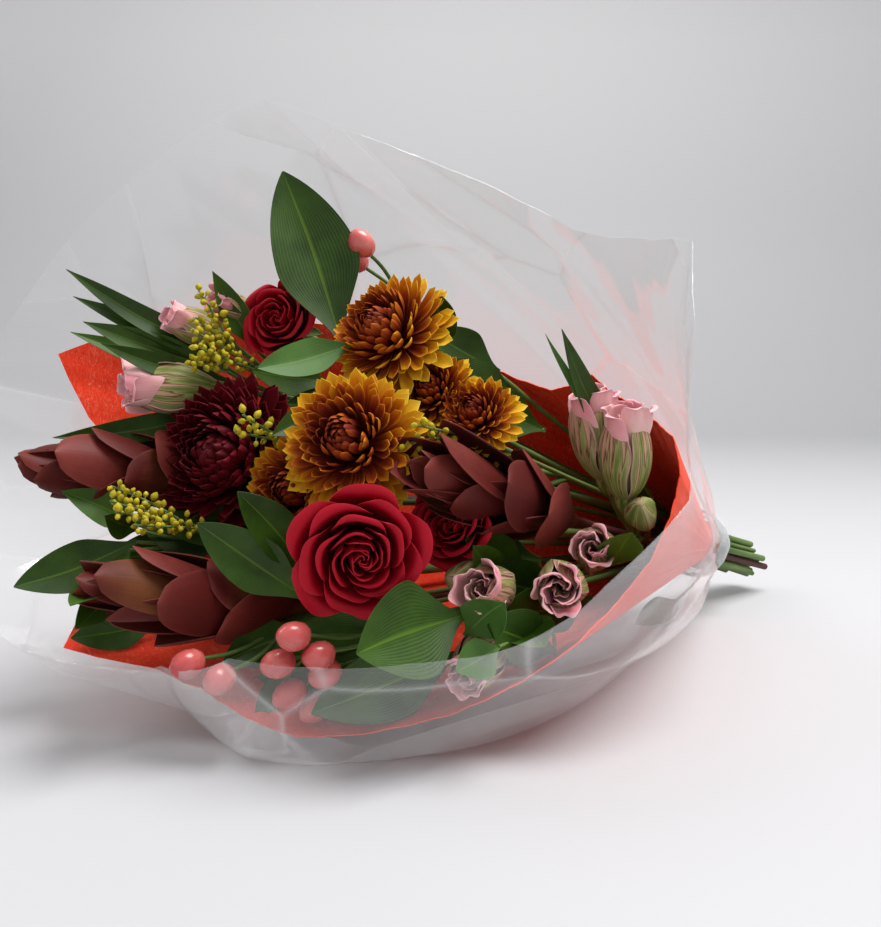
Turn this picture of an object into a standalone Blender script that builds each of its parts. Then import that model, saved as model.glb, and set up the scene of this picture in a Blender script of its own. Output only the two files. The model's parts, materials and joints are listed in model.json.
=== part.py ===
"""Mixed flower bouquet lying down in a red liner and a clear wrap.

The bouquet has its own frame: origin in the middle of the tie, W along the bunch from the tie to the
flowers, U to the side and V square to both. Every mesh is made in that frame, in metres, and hangs from
one empty that lays the bouquet on the floor.
"""
import math
import random

import bpy
import bmesh
from mathutils import Matrix, Vector
from mathutils.bvhtree import BVHTree

# Driving dimensions, metres and degrees
AXIS_TILT = 17.6          # rise of the bunch above the floor
TIE_HEIGHT = 0.048        # middle of the tie above the floor
SHEET = 0.0008            # wall of the wrap and of the liner
GAP = 0.0004              # air kept between separate pieces
JITTER = 0.06             # unevenness of the petals of one flower, radians
MUM_CORE = 0.31           # core of a chrysanthemum as a share of its radius
STALK = 0.0011            # half thickness of a leaf stalk
FORK_STEP = 0.009         # distance between side stalks along a stem
BLADE = 0.0013            # thickest point of a petal or leaf
CUT_END = 0.090           # longest cut stem behind the tie
SLOT_PITCH = 0.0053       # spacing of the stems where they are tied
STEM_STEPS = 4            # straight pieces of a stem between tie and flower
SPLAY = 0.12              # how far the cut ends open, as a share of their place in the tie
TWIST = 14.0              # turn of the cut ends round the bunch
STEM_MOUTH = 0.0155       # radius of the bunch in the tie
LINER_MOUTH = 0.0172
WRAP_MOUTH = 0.0200
TIE_WIDTH = 0.016
COLLAR = 0.010            # length of wrap and liner either side of the middle of the tie
TIE_WALL = 0.0012
PLEATS = 12
WRAP_COLUMNS = 36
WRAP_ROWS = 6
LINER_COLUMNS = 36
LINER_ROWS = 3

# Wrap by azimuth: belly radius and height, rim radius and height, centimetres
WRAP_SHAPE = (
    (0, 10.0, 17.5, 15.0, 26.0),
    (10, 9.6, 17.8, 14.2, 25.1),
    (20, 9.3, 18.0, 14.3, 25.0),
    (30, 9.0, 18.0, 14.7, 24.7),
    (40, 9.3, 17.6, 15.5, 24.1),
    (50, 9.8, 16.9, 16.7, 23.3),
    (60, 10.1, 16.1, 15.3, 22.4),
    (70, 10.3, 15.5, 14.7, 22.2),
    (80, 10.4, 15.5, 14.5, 22.8),
    (90, 10.9, 16.2, 15.2, 24.7),
    (100, 11.8, 18.2, 16.4, 28.5),
    (110, 13.0, 20.8, 17.8, 32.6),
    (120, 14.3, 23.2, 20.3, 36.0),
    (130, 15.2, 24.9, 20.6, 37.5),
    (140, 15.6, 25.6, 21.2, 38.5),
    (150, 16.0, 26.4, 22.2, 39.4),
    (160, 16.3, 27.1, 23.2, 40.4),
    (180, 16.9, 28.2, 24.8, 41.9),
    (200, 17.0, 28.5, 24.6, 42.2),
    (220, 17.3, 28.8, 21.0, 41.2),
    (240, 19.0, 31.0, 16.6, 38.7),
    (255, 20.5, 33.0, 13.0, 37.5),
    (270, 21.0, 34.0, 11.7, 38.0),
    (285, 20.0, 33.0, 11.1, 38.0),
    (300, 18.0, 30.0, 11.5, 36.0),
    (320, 15.5, 25.0, 13.2, 32.5),
    (340, 13.0, 21.0, 15.3, 30.5),
)
# Liner by azimuth: flare of its cone and height of its edge, which has corners
LINER_SHAPE = (
    (5, 0.430, 19.0),
    (15, 0.440, 19.2),
    (25, 0.420, 18.6),
    (35, 0.385, 17.3),
    (45, 0.360, 16.6),
    (55, 0.345, 16.1),
    (65, 0.338, 16.0),
    (75, 0.345, 16.0),
    (85, 0.372, 16.3),
    (95, 0.330, 16.3),
    (105, 0.300, 16.8),
    (115, 0.310, 18.5),
    (125, 0.350, 20.0),
    (135, 0.400, 22.5),
    (145, 0.400, 27.5),
    (155, 0.400, 32.5),
    (165, 0.405, 36.8),
    (175, 0.410, 40.2),
    (185, 0.405, 38.0),
    (195, 0.395, 36.3),
    (215, 0.385, 36.3),
    (225, 0.385, 38.0),
    (235, 0.362, 39.6),
    (245, 0.350, 36.3),
    (255, 0.350, 34.8),
    (275, 0.385, 32.5),
    (295, 0.405, 28.5),
    (325, 0.425, 24.5),
    (345, 0.425, 20.5),
)

# Colours
ROSE_RED = (0.30, 0.004, 0.015)
BRONZE = (0.50, 0.17, 0.03)
BURGUNDY = (0.10, 0.008, 0.018)
MAROON = (0.12, 0.025, 0.03)
PINK = (0.72, 0.28, 0.36)
LEAF_GREEN = (0.05, 0.13, 0.025)
STEM_GREEN = (0.14, 0.22, 0.06)
BUD_YELLOW = (0.55, 0.47, 0.04)
CORAL = (0.65, 0.16, 0.14)
LINER_RED = (0.85, 0.10, 0.03)
WRAP_CLEAR = (0.85, 0.87, 0.88)

obstacles = []


def start_empty():
    for item in list(bpy.data.objects):
        bpy.data.objects.remove(item, do_unlink=True)


def material(name, colour, roughness, alpha=1.0):
    mat = bpy.data.materials.new(name)
    mat.use_nodes = True
    shader = mat.node_tree.nodes["Principled BSDF"]
    shader.inputs["Base Color"].default_value = (*colour, 1.0)
    shader.inputs["Roughness"].default_value = roughness
    shader.inputs["Alpha"].default_value = alpha
    return mat


def bouquet_frame():
    tilt = math.radians(AXIS_TILT)
    frame = bpy.data.objects.new("bouquet_axis", None)
    bpy.context.scene.collection.objects.link(frame)
    frame.matrix_world = Matrix((
        (1, 0, 0, 0),
        (0, math.sin(tilt), -math.cos(tilt), 0),
        (0, math.cos(tilt), math.sin(tilt), TIE_HEIGHT),
        (0, 0, 0, 1),
    ))
    return frame


# ---- Solids made of plain points and faces ----

def rings_solid(rings, tip=None, start=None):
    """Closed solid over rings of equal length, with flat ends or single end points."""
    verts = [point for ring in rings for point in ring]
    count = len(rings[0])
    faces = []
    for row in range(len(rings) - 1):
        low = row * count
        high = low + count
        for i in range(count):
            j = (i + 1) % count
            faces.append((low + i, low + j, high + j))
            faces.append((low + i, high + j, high + i))
    last = (len(rings) - 1) * count
    if tip is None:
        faces += [(last, last + i, last + i + 1) for i in range(1, count - 1)]
    else:
        verts.append(tip)
        faces += [(last + i, last + (i + 1) % count, len(verts) - 1) for i in range(count)]
    if start is None:
        faces += [(0, i + 1, i) for i in range(1, count - 1)]
    else:
        verts.append(start)
        faces += [((i + 1) % count, i, len(verts) - 1) for i in range(count)]
    return verts, faces


def side_axes(along, face):
    along = along.normalized()
    across = along.cross(face)
    if across.length < 1e-6:
        across = along.orthogonal()
    across.normalize()
    return along, across, across.cross(along).normalized()


def blade_rings(root, along, face, length, width, profile, cup=0.0, curl=0.0, grow=0.0, keeled=False):
    """Cross-sections and tip of a petal or leaf on a curved midrib: a thin lens, or a keeled wedge."""
    along, across, up = side_axes(along, face)

    def reach_and_lift(t):
        if not curl:
            return length * t, 0.0
        return length * math.sin(curl * t) / curl, length * (1 - math.cos(curl * t)) / curl

    rings = []
    for t, share in profile:
        reach, lift = reach_and_lift(t)
        middle = root + along * reach + up * lift
        normal = up * math.cos(curl * t) - along * math.sin(curl * t)
        half = width * share / 2 + grow
        thick = BLADE / 2 + grow
        left = middle - across * half + normal * (cup * half)
        right = middle + across * half + normal * (cup * half)
        if keeled:
            rings.append([left, middle - normal * (thick + BLADE / 2), right])
        else:
            rings.append([left, middle - normal * thick, right, middle + normal * thick])
    reach, lift = reach_and_lift(1.0)
    return rings, root + along * (reach + grow) + up * lift


def tube(points, radii, sides=5, grow=0.0):
    """Round rod through points; each ring turns with the path."""
    across = None
    rings = []
    for i, point in enumerate(points):
        ahead = points[min(i + 1, len(points) - 1)] - points[max(i - 1, 0)]
        ahead.normalize()
        if across is None:
            across = ahead.orthogonal().normalized()
        across = (across - ahead * across.dot(ahead)).normalized()
        up = ahead.cross(across)
        radius = radii[i] + grow
        rings.append([point + across * radius * math.cos(math.tau * k / sides)
                      + up * radius * math.sin(math.tau * k / sides) for k in range(sides)])
    return rings_solid(rings)


def turned(root, along, profile, sides, grow=0.0):
    """Solid of revolution: profile holds (height, radius) pairs between two end points."""
    along, across, up = side_axes(along, Vector((0.3, 0.9, 0.1)))
    rings = []
    for height, radius in profile[1:-1]:
        middle = root + along * height
        rings.append([middle + (across * math.cos(math.tau * k / sides)
                      + up * math.sin(math.tau * k / sides)) * (radius + grow) for k in range(sides)])
    return rings_solid(rings, root + along * (profile[-1][0] + grow), root + along * (profile[0][0] - grow))


# ---- Keeping clear, joining and naming ----

def volume(verts, faces):
    return sum(verts[a].dot(verts[b].cross(verts[c])) for a, b, c in faces) / 6


def outward(solid):
    verts, faces = solid
    if volume(verts, faces) < 0:
        faces = [tuple(reversed(face)) for face in faces]
    return verts, faces


def is_clear(solid, owner=""):
    """True when a solid crosses no earlier piece, apart from those of its own node."""
    tree = BVHTree.FromPolygons(solid[0], solid[1])
    low = [min(v[i] for v in solid[0]) for i in range(3)]
    high = [max(v[i] for v in solid[0]) for i in range(3)]
    for name, other, other_low, other_high in obstacles:
        if name == owner and owner:
            continue
        if any(low[i] > other_high[i] or high[i] < other_low[i] for i in range(3)):
            continue
        if tree.overlap(other):
            return False
    return True


def tree_of(solid):
    return BVHTree.FromPolygons(solid[0], solid[1])


def first_clear(make, tries, owner=""):
    """The first variant of a piece that keeps clear of all earlier nodes, or nothing."""
    for values in tries:
        if is_clear(make(grow=GAP, **values), owner):
            return make(grow=0.0, **values)
    return None


def reserve(name, solid):
    """Mark the room that a solid takes before its node is fused."""
    verts, faces = solid
    low = [min(v[i] for v in verts) for i in range(3)]
    high = [max(v[i] for v in verts) for i in range(3)]
    obstacles.append((name, BVHTree.FromPolygons(verts, faces), low, high))


def mesh_object(name, solid):
    mesh = bpy.data.meshes.new(name)
    verts, faces = outward(solid)
    mesh.from_pydata([tuple(v) for v in verts], [], faces)
    item = bpy.data.objects.new(name, mesh)
    bpy.context.scene.collection.objects.link(item)
    return item


def tidy_body(mesh):
    """Keep the largest closed shell: fills sealed hollows and drops loose scraps."""
    work = bmesh.new()
    work.from_mesh(mesh)
    bmesh.ops.triangulate(work, faces=work.faces)
    bmesh.ops.dissolve_degenerate(work, edges=work.edges, dist=1e-6)
    seen = set()
    shells = []
    for face in work.faces:
        if face in seen:
            continue
        shell = []
        stack = [face]
        seen.add(face)
        while stack:
            current = stack.pop()
            shell.append(current)
            for edge in current.edges:
                for other in edge.link_faces:
                    if other not in seen:
                        seen.add(other)
                        stack.append(other)
        shells.append(shell)
    shells.sort(key=len, reverse=True)
    for shell in shells[1:]:
        bmesh.ops.delete(work, geom=shell, context="FACES")
    loose = [vert for vert in work.verts if not vert.link_faces]
    bmesh.ops.delete(work, geom=loose, context="VERTS")
    work.to_mesh(mesh)
    work.free()


def fuse(name, solids, mat, frame, smooth=True):
    """Union of closed solids as one named node, parented to the bouquet's frame."""
    solids = [solid for solid in solids if solid is not None]
    body = mesh_object(name, solids[0])
    if len(solids) > 1:
        group = bpy.data.collections.new(name + "_repeats")
        bpy.context.scene.collection.children.link(group)
        for solid in solids[1:]:
            item = mesh_object("repeat", solid)
            bpy.context.scene.collection.objects.unlink(item)
            group.objects.link(item)
        join = body.modifiers.new("join", "BOOLEAN")
        join.operation = "UNION"
        join.operand_type = "COLLECTION"
        join.collection = group
        join.solver = "MANIFOLD"
        graph = bpy.context.evaluated_depsgraph_get()
        joined = bpy.data.meshes.new_from_object(body.evaluated_get(graph))
        body.modifiers.remove(join)
        body.data = joined
        for item in list(group.objects):
            bpy.data.objects.remove(item, do_unlink=True)
        bpy.data.collections.remove(group)
    tidy_body(body.data)
    body.data.name = name
    body.data.materials.clear()
    body.data.materials.append(mat)
    if smooth:
        body.data.shade_smooth()
        body.data.set_sharp_from_angle(angle=math.radians(40))
    body.parent = frame
    remember(body)
    return body


def remember(body):
    """Mark the room that a finished node takes, in place of its reserved pieces."""
    obstacles[:] = [entry for entry in obstacles if entry[0] != body.name]
    verts = [vert.co.copy() for vert in body.data.vertices]
    reserve(body.name, (verts, [tuple(poly.vertices) for poly in body.data.polygons]))


# ---- Wrap, liner and tie ----

def between(table, azimuth):
    """Row of a table at any azimuth."""
    azimuth = (azimuth - table[0][0]) % 360 + table[0][0]
    rows = list(table) + [(table[0][0] + 360, *table[0][1:])]
    for low, high in zip(rows, rows[1:]):
        if low[0] <= azimuth <= high[0]:
            t = (azimuth - low[0]) / (high[0] - low[0])
            return [a + (b - a) * t for a, b in zip(low[1:], high[1:])]
    return list(table[0][1:])


def above_collar(s, rows):
    """Share of the way along a sheet's free part; its first row is the collar inside the tie."""
    return max(0.0, (s * rows - 1) / (rows - 1))


def wrap_point(azimuth, s):
    """Point of the clear wrap: collar in the tie, then a cubic curve over the belly to the rim."""
    belly_r, belly_w, rim_r, rim_w = (value / 100 for value in between(WRAP_SHAPE, azimuth))
    t = above_collar(s, WRAP_ROWS)
    first_r = WRAP_MOUTH + (belly_r - WRAP_MOUTH) * 0.65
    a, b, c, d = (1 - t) ** 3, 3 * t * (1 - t) ** 2, 3 * t * t * (1 - t), t ** 3
    radius = a * WRAP_MOUTH + b * first_r + c * belly_r + d * rim_r
    height = a * COLLAR + b * belly_w * 0.47 + c * belly_w + d * rim_w
    if s == 0:
        height = -COLLAR
    fold = 0.0012 + 0.012 * t * (1 - t) ** 2
    radius += fold * math.cos(math.radians(azimuth * PLEATS))
    return polar(azimuth, radius, height)


def liner_point(azimuth, s):
    flare, edge = between(LINER_SHAPE, azimuth)
    t = above_collar(s, LINER_ROWS)
    height = COLLAR + (edge / 100 - COLLAR) * t
    if s == 0:
        height = -COLLAR
    return polar(azimuth, LINER_MOUTH + flare * edge / 100 * t, height)


def polar(azimuth, radius, height):
    angle = math.radians(azimuth)
    return Vector((radius * math.cos(angle), radius * math.sin(angle), height))


def lay_on_floor(point, frame, height):
    """Lift a point that would sink below the floor, and lay it flat there."""
    world = frame.matrix_world @ point
    if world.z < height:
        world.z = height
    return frame.matrix_world.inverted() @ world


def sheet_node(name, place, columns, rows, phase, floor, mat, frame):
    """Open cone of thin sheet, with both faces split alike."""
    mesh = bpy.data.meshes.new(name)
    verts = []
    for row in range(rows + 1):
        for column in range(columns):
            point = place(360 * (column + phase) / columns, row / rows)
            verts.append(tuple(lay_on_floor(point, frame, floor)))
    faces = []
    for row in range(rows):
        for column in range(columns):
            a = row * columns + column
            b = row * columns + (column + 1) % columns
            faces.append((a, b, b + columns))
            faces.append((a, b + columns, a + columns))
    mesh.from_pydata(verts, [], faces)
    body = bpy.data.objects.new(name, mesh)
    bpy.context.scene.collection.objects.link(body)
    wall = body.modifiers.new("wall", "SOLIDIFY")
    wall.thickness = SHEET
    wall.offset = 1.0
    graph = bpy.context.evaluated_depsgraph_get()
    body.data = bpy.data.meshes.new_from_object(body.evaluated_get(graph))
    body.modifiers.clear()
    body.data.materials.append(mat)
    body.parent = frame
    remember(body)
    return body


def tie_band(mat, frame):
    """Clear band round the gathered wrap, a ring with a square section."""
    inner = WRAP_MOUTH + SHEET + 0.0018
    outer = inner + TIE_WALL
    half = TIE_WIDTH / 2
    sides = 16
    verts = []
    for radius, height in ((inner, -half), (outer, -half), (outer, half), (inner, half)):
        verts += [polar(360 * k / sides, radius, height) for k in range(sides)]
    faces = []
    for ring in range(4):
        for k in range(sides):
            a = ring * sides + k
            b = ring * sides + (k + 1) % sides
            c = (ring + 1) % 4 * sides + (k + 1) % sides
            d = (ring + 1) % 4 * sides + k
            faces += [(a, b, c), (a, c, d)]
    return fuse("tie_band", [(verts, faces)], mat, frame)


# ---- Stems ----

def cm(place):
    return Vector(place) / 100


def stem_slots(count):
    """Places in the tie, on a triangular grid, nearest the middle first."""
    places = []
    reach = range(-5, 6)
    for row in reach:
        for column in reach:
            u = (column + 0.5 * (row % 2)) * SLOT_PITCH
            v = row * SLOT_PITCH * math.sqrt(3) / 2
            places.append((math.hypot(u, v), u, v))
    places.sort()
    return [Vector((u, v, 0)) for _, u, v in places[:count]]


def share_slots(targets):
    """Give each stem the free slot that lies most nearly under its flower."""
    free = stem_slots(len(targets))
    order = sorted(targets, key=lambda name: -Vector(targets[name][:2]).length / targets[name][2])
    chosen = {}
    for name in order:
        u, v, w = targets[name]
        wanted = Vector((u, v, 0)) / w * (STEM_MOUTH / 0.36)
        slot = min(free, key=lambda place: (place - wanted).length)
        free.remove(slot)
        chosen[name] = slot
    return chosen


def stem_path(slot, base, facing, cut, bend, sway):
    """Cut end, tie, and one smooth curve that meets the flower square to its base."""
    turn = math.radians(TWIST) * cut / CUT_END
    spread = 1 + SPLAY * cut / CUT_END
    end = Matrix.Rotation(turn, 3, "Z") @ (slot * spread) - Vector((0, 0, cut))
    slot = slot + Vector((0, 0, COLLAR))
    reach = (base - slot).length
    first = slot + (base - slot) * 0.33
    second = base - facing.normalized() * reach * bend
    second += facing.orthogonal().normalized() * reach * sway
    points = [end]
    for i in range(STEM_STEPS + 1):
        t = i / STEM_STEPS
        points.append(slot * (1 - t) ** 3 + first * 3 * t * (1 - t) ** 2
                      + second * 3 * t * t * (1 - t) + base * t ** 3)
    return points


def rod(points, start, end, sides=5, grow=0.0):
    last = len(points) - 1
    return tube(points, [start + (end - start) * i / last for i in range(last + 1)], sides, grow)


# ---- Flowers ----

LEAF = ((0.0, 0.12), (0.33, 0.88), (0.72, 0.80))
BROAD_LEAF = ((0.0, 0.10), (0.24, 0.74), (0.52, 1.0), (0.80, 0.66))
SMALL_LEAF = ((0.0, 0.25), (0.45, 1.0))
RAY = ((0.0, 0.35), (0.60, 1.0), (0.93, 0.74))
BRACT = ((0.0, 0.30), (0.40, 1.0), (0.82, 0.76))
TEPAL = ((0.0, 0.35), (0.45, 1.0), (0.84, 0.78))
SHRINK = (1.0, 0.92, 0.84, 0.75, 0.65, 0.55, 0.45)


def around(facing, polar_angle, azimuth):
    """Direction at an angle from the flower's own axis, and the way its upper side looks."""
    facing = facing.normalized()
    side = facing.orthogonal().normalized()
    other = facing.cross(side)
    ring = side * math.cos(azimuth) + other * math.sin(azimuth)
    way = facing * math.cos(polar_angle) + ring * math.sin(polar_angle)
    upper = facing * math.sin(polar_angle) - ring * math.cos(polar_angle)
    return way, upper


def grown_head(middle, facing, count, circles, ends, rings, owner="", phase=0.0, rng=None):
    """Flower head as one closed body: petals grow out of the faces of a round core.

    circles holds (height, radius) of the core from its top down, ends its top and bottom heights, and
    rings one (lean, length, width, profile, cup, curl) for each band between two circles.
    """
    facing = facing.normalized()
    side = facing.orthogonal().normalized()
    other = facing.cross(side)
    verts = []
    for i, (height, radius) in enumerate(circles):
        for k in range(count):
            turn = math.tau * (k + 0.5 * i + phase) / count
            verts.append(middle + facing * height
                         + (side * math.cos(turn) + other * math.sin(turn)) * radius)
    top = len(verts)
    verts += [middle + facing * ends[0], middle + facing * ends[1]]
    last = (len(circles) - 1) * count
    faces = []
    for k in range(count):
        after = (k + 1) % count
        faces += [(top, k, after), (top + 1, last + after, last + k)]
    grown = []
    for i, ring in enumerate(rings):
        for k in range(count):
            after = (k + 1) % count
            root = (i * count + k, (i + 1) * count + k, i * count + after)
            faces.append(((i + 1) * count + k, (i + 1) * count + after, i * count + after))
            turn = math.tau * (k + 0.5 + 0.5 * i + phase) / count
            sections, tip = open_petal([verts[n] for n in root], facing, turn, ring, owner, grown, rng)
            before = list(root)
            for section in sections:
                first = len(verts)
                verts += section
                now = [first, first + 1, first + 2]
                for n in range(3):
                    m = (n + 1) % 3
                    faces += [(before[n], before[m], now[m]), (before[n], now[m], now[n])]
                before = now
            if tip is None:
                faces.append(tuple(before))
            else:
                verts.append(tip)
                faces += [(before[n], before[(n + 1) % 3], len(verts) - 1) for n in range(3)]
    return verts, faces


def open_petal(root, facing, turn, ring, owner, grown, rng):
    """Sections and tip of one petal on its root triangle; it shrinks or shuts until it is clear."""
    lean, length, width, profile, cup, curl = ring
    lean = math.radians(lean)
    if rng:
        turn += rng.uniform(-JITTER, JITTER)
        lean += rng.uniform(-JITTER, JITTER)
        length *= rng.uniform(0.94, 1.05)
    base = (root[0] + root[1] + root[2]) / 3

    def make(scale, shut, grow):
        way, upper = around(facing, lean * shut, turn)
        rings, tip = blade_rings(base, way, upper, length * scale, width * min(1.0, scale + 0.25), profile,
                                 cup, curl, grow, True)
        return [list(reversed(section)) for section in rings[1:]], tip

    for scale in SHRINK:
        for shut in (1.0, 0.88, 1.1, 0.76):
            sections, tip = make(scale, shut, GAP)
            whole = rings_solid([root, *sections], tip)
            free = tree_of(rings_solid(sections, tip))
            tree = tree_of(whole)
            if any(tree.overlap(old_free) or free.overlap(old) for old, old_free in grown):
                continue
            if not is_clear(whole, owner):
                continue
            sections, tip = make(scale, shut, 0.0)
            grown.append((tree_of(rings_solid([root, *sections], tip)), tree_of(rings_solid(sections, tip))))
            return sections, tip
    return [], None


def round_circles(radius, angles):
    return [(radius * math.cos(math.radians(a)), radius * math.sin(math.radians(a))) for a in angles]


def mum(name, centre, facing, radius, count, rings, mat, frame, seed):
    """Chrysanthemum: rings of rays on a round core, the inner ones closing over it."""
    core = MUM_CORE * radius
    middle = centre - facing * radius * 0.42
    sized = [(lean, radius * reach, radius * width, RAY, 0.30, curl) for lean, reach, width, curl in rings]
    angles = [rings[0][0] - 13] + [(a[0] + b[0]) / 2 for a, b in zip(rings, rings[1:])] + [rings[-1][0] + 11]
    head = grown_head(middle, facing, count, round_circles(core, angles), (core * 1.05, -core * 0.86), sized,
                      owner=name, rng=random.Random(seed))
    return fuse(name, [head], mat, frame)


def petal_wall(root, facing, azimuth, half_angle, stations, steps, grow=0.0):
    """Rose petal: part of a turned wall, with a round upper edge."""
    facing = facing.normalized()
    side = facing.orthogonal().normalized()
    other = facing.cross(side)
    thick = BLADE / 2 + grow
    rings = []
    for height, radius, share in stations:
        ring = []
        for wall, order in ((thick, range(steps + 1)), (-thick, range(steps, -1, -1))):
            for k in order:
                turn = azimuth + half_angle * share * (2 * k / steps - 1)
                way = side * math.cos(turn) + other * math.sin(turn)
                ring.append(root + facing * (height + (grow if height > stations[0][0] else 0))
                            + way * (radius + wall))
        rings.append(ring)
    return rings_solid(rings)


# Layers of a rose as shares of its radius: petals, half angle, then heights, radii and widths
ROSE_LAYERS = (
    (3, 50, ((0.12, 0.14, 0.7), (0.60, 0.26, 1.0), (1.04, 0.20, 0.75))),
    (3, 56, ((0.12, 0.18, 0.7), (0.60, 0.43, 1.0), (1.04, 0.42, 0.72))),
    (4, 43, ((0.10, 0.20, 0.6), (0.52, 0.60, 1.0), (0.96, 0.68, 0.65))),
    (5, 35, ((0.06, 0.22, 0.4), (0.34, 0.70, 1.0), (0.74, 1.00, 0.62))),
)


def rose(name, centre, facing, radius, layers, steps, mat, frame):
    root = centre - facing * radius * 0.9
    heart = [(0.0, 0.0), (0.10 * radius, 0.30 * radius), (0.40 * radius, 0.17 * radius), (radius, 0.0)]
    solids = [turned(root, facing, heart, 6)]
    for i, (count, half, stations) in enumerate(layers):
        for k in range(count):
            azimuth = math.tau * (k + 0.5 * (i % 2) + 0.13 * i) / count

            def make(scale, tuck, grow):
                sized = [(h * radius * scale, r * radius * (tuck if n else 1.0), share)
                         for n, (h, r, share) in enumerate(stations)]
                return petal_wall(root, facing, azimuth, math.radians(half), sized, steps, grow)

            tries = [{"scale": scale, "tuck": tuck} for scale in (1.0, 0.85, 0.7) for tuck in (1.0, 0.88)]
            solids.append(first_clear(make, tries, name))
    return fuse(name, solids, mat, frame)


def cone_head(name, base, facing, length, mat, frame, seed, stem):
    """Leucadendron: smooth bracts in rings round a slim cone, on the stem of the same colour."""
    sized = [(lean, length * reach, width, BRACT, 0.30, curl) for lean, reach, width, curl in BRACTS]
    circles = [(0.034, 0.0034), (0.023, 0.0056), (0.011, 0.0066), (0.0, 0.0058)]
    head = grown_head(base, facing, 4, circles, (0.040, -0.010), sized, owner=name, phase=0.1 * seed,
                      rng=random.Random(seed))
    return fuse(name, [head, *stem], mat, frame)


def pink_bloom(name, base, facing, length, mat, frame, seed):
    """Six ruffled inner petals of a half-open alstroemeria, on a slim core above its green cup."""
    rings = [(6, length * 0.58, length * 0.26, TEPAL, 0.30, 0.10),
             (20, length * 0.72, length * 0.34, TEPAL, 0.30, -0.10)]
    circles = [(0.021, 0.0026), (0.016, 0.0036), (0.0110, 0.0034)]
    head = grown_head(base, facing, 3, circles, (0.024, 0.0086), rings, owner=name,
                      rng=random.Random(seed))
    return fuse(name, [head], mat, frame)


def green_cup(stems, key, base, facing, length):
    """Cup under a bloom with three broad outer tepals that clasp the petals."""
    rings = [(52, length * 0.72, length * 0.36, TEPAL, 0.16, 1.10)]
    circles = [(0.0055, 0.0052), (-0.0005, 0.0042)]
    head = grown_head(base, facing, 3, circles, (0.0080, -0.0050), rings, owner=key)
    add_piece(stems, key, head)


def rose_calyx(stems, key, base, facing):
    """Cup under a rose with five sepals bent back."""
    rings = [(96, 0.020, 0.007, SMALL_LEAF, 0.2, -0.5)]
    circles = [(-0.0010, 0.0048), (-0.0070, 0.0046)]
    head = grown_head(base, facing, 5, circles, (-0.0004, -0.0120), rings, owner=key)
    add_piece(stems, key, head)


def leaf_on_stem(stems, key, path, root, tip, width, face=(0.7, 0.1, 0.6), curl=0.5):
    """Leaf with its stalk from the middle of a stem; it swings, bends or shortens until it is clear."""
    root = cm(root)
    chord = cm(tip) - root
    face = Vector(face)
    broad = width > 1.7
    profile = BROAD_LEAF if broad else LEAF

    def make(back, slide, swing, nod, scale, grow):
        fork = back_along(path, back)
        along, across, up = side_axes(chord, face)
        start = root + across * slide[0] + up * slide[1]
        turn = Matrix.Rotation(swing, 3, up) @ Matrix.Rotation(nod - curl / 2, 3, across)
        length = chord.length * scale * (1 + curl * curl / 24)
        rings, point = blade_rings(start, turn @ along, turn @ up, length, width / 100, profile,
                                   0.28 if broad else 0.45, curl, grow)
        _, across, up = side_axes(start - fork, turn @ up)
        size = STALK + grow
        foot = [fork - across * size, fork - up * size, fork + across * size, fork + up * size]
        return rings_solid([foot, *rings], point)

    tries = []
    for scale in (1.0, 0.9, 0.78, 0.62, 0.48):
        for nod in (0.0, 0.15, -0.15, 0.3, -0.3, 0.45, -0.45):
            for swing in (0.0, 0.2, -0.2, 0.4, -0.4):
                for slide in ((0, 0), (0, 0.006), (0, -0.006), (0.006, 0), (-0.006, 0)):
                    for back in (0.5, 1.5, 2.5, 3.5, 5.0, 7.0):
                        tries.append({"back": back * FORK_STEP, "slide": slide, "swing": swing, "nod": nod,
                                      "scale": scale})
    tries.sort(key=lambda t: ((1 - t["scale"]) * 1.5 + abs(t["nod"]) + abs(t["swing"])
                              + 30 * (abs(t["slide"][0]) + abs(t["slide"][1]))))
    add_piece(stems, key, first_clear(make, tries, key))


def stalk_to(stems, key, path, end, radius, forks=range(12)):
    """Thin side stalk from the middle of a stem to a point, bent round whatever is in its way."""
    def make(fork, bow, turn, grow):
        start = back_along(path, fork * FORK_STEP)
        side, _ = around(end - start, math.pi / 2, turn)
        middle = (start + end) / 2 + side * bow
        return tube([start, middle, end], [radius * 1.15 + grow, radius + grow, radius + grow], 4)

    tries = []
    for bow in (0.0005, 0.004, 0.008, 0.013):
        for turn in range(6):
            for fork in forks:
                tries.append({"fork": fork, "bow": bow, "turn": turn * math.tau / 6})
    add_piece(stems, key, first_clear(make, tries, key))


def berry_bunch(stems, key, path, berries):
    """Pointed berries, each on its own stalk."""
    for i, middle in enumerate(berries):
        way = (middle - back_along(path, FORK_STEP * (i % 5))).normalized()

        def make(shift, grow):
            return turned(middle + way * shift, way,
                          [(h * BERRY_LENGTH, r * BERRY_RADIUS) for h, r in BERRY], 6, grow)

        berry = first_clear(make, [{"shift": shift} for shift in (0.0, -0.006, 0.006, -0.012)], key)
        if berry is None:
            continue
        add_piece(stems, key, berry)
        bottom = sum(berry[0][-2:], Vector()) / 2 - way * BERRY_LENGTH * 0.3
        stalk_to(stems, key, path, bottom, 0.0010, [i % 5 + n for n in range(8)])


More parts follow.
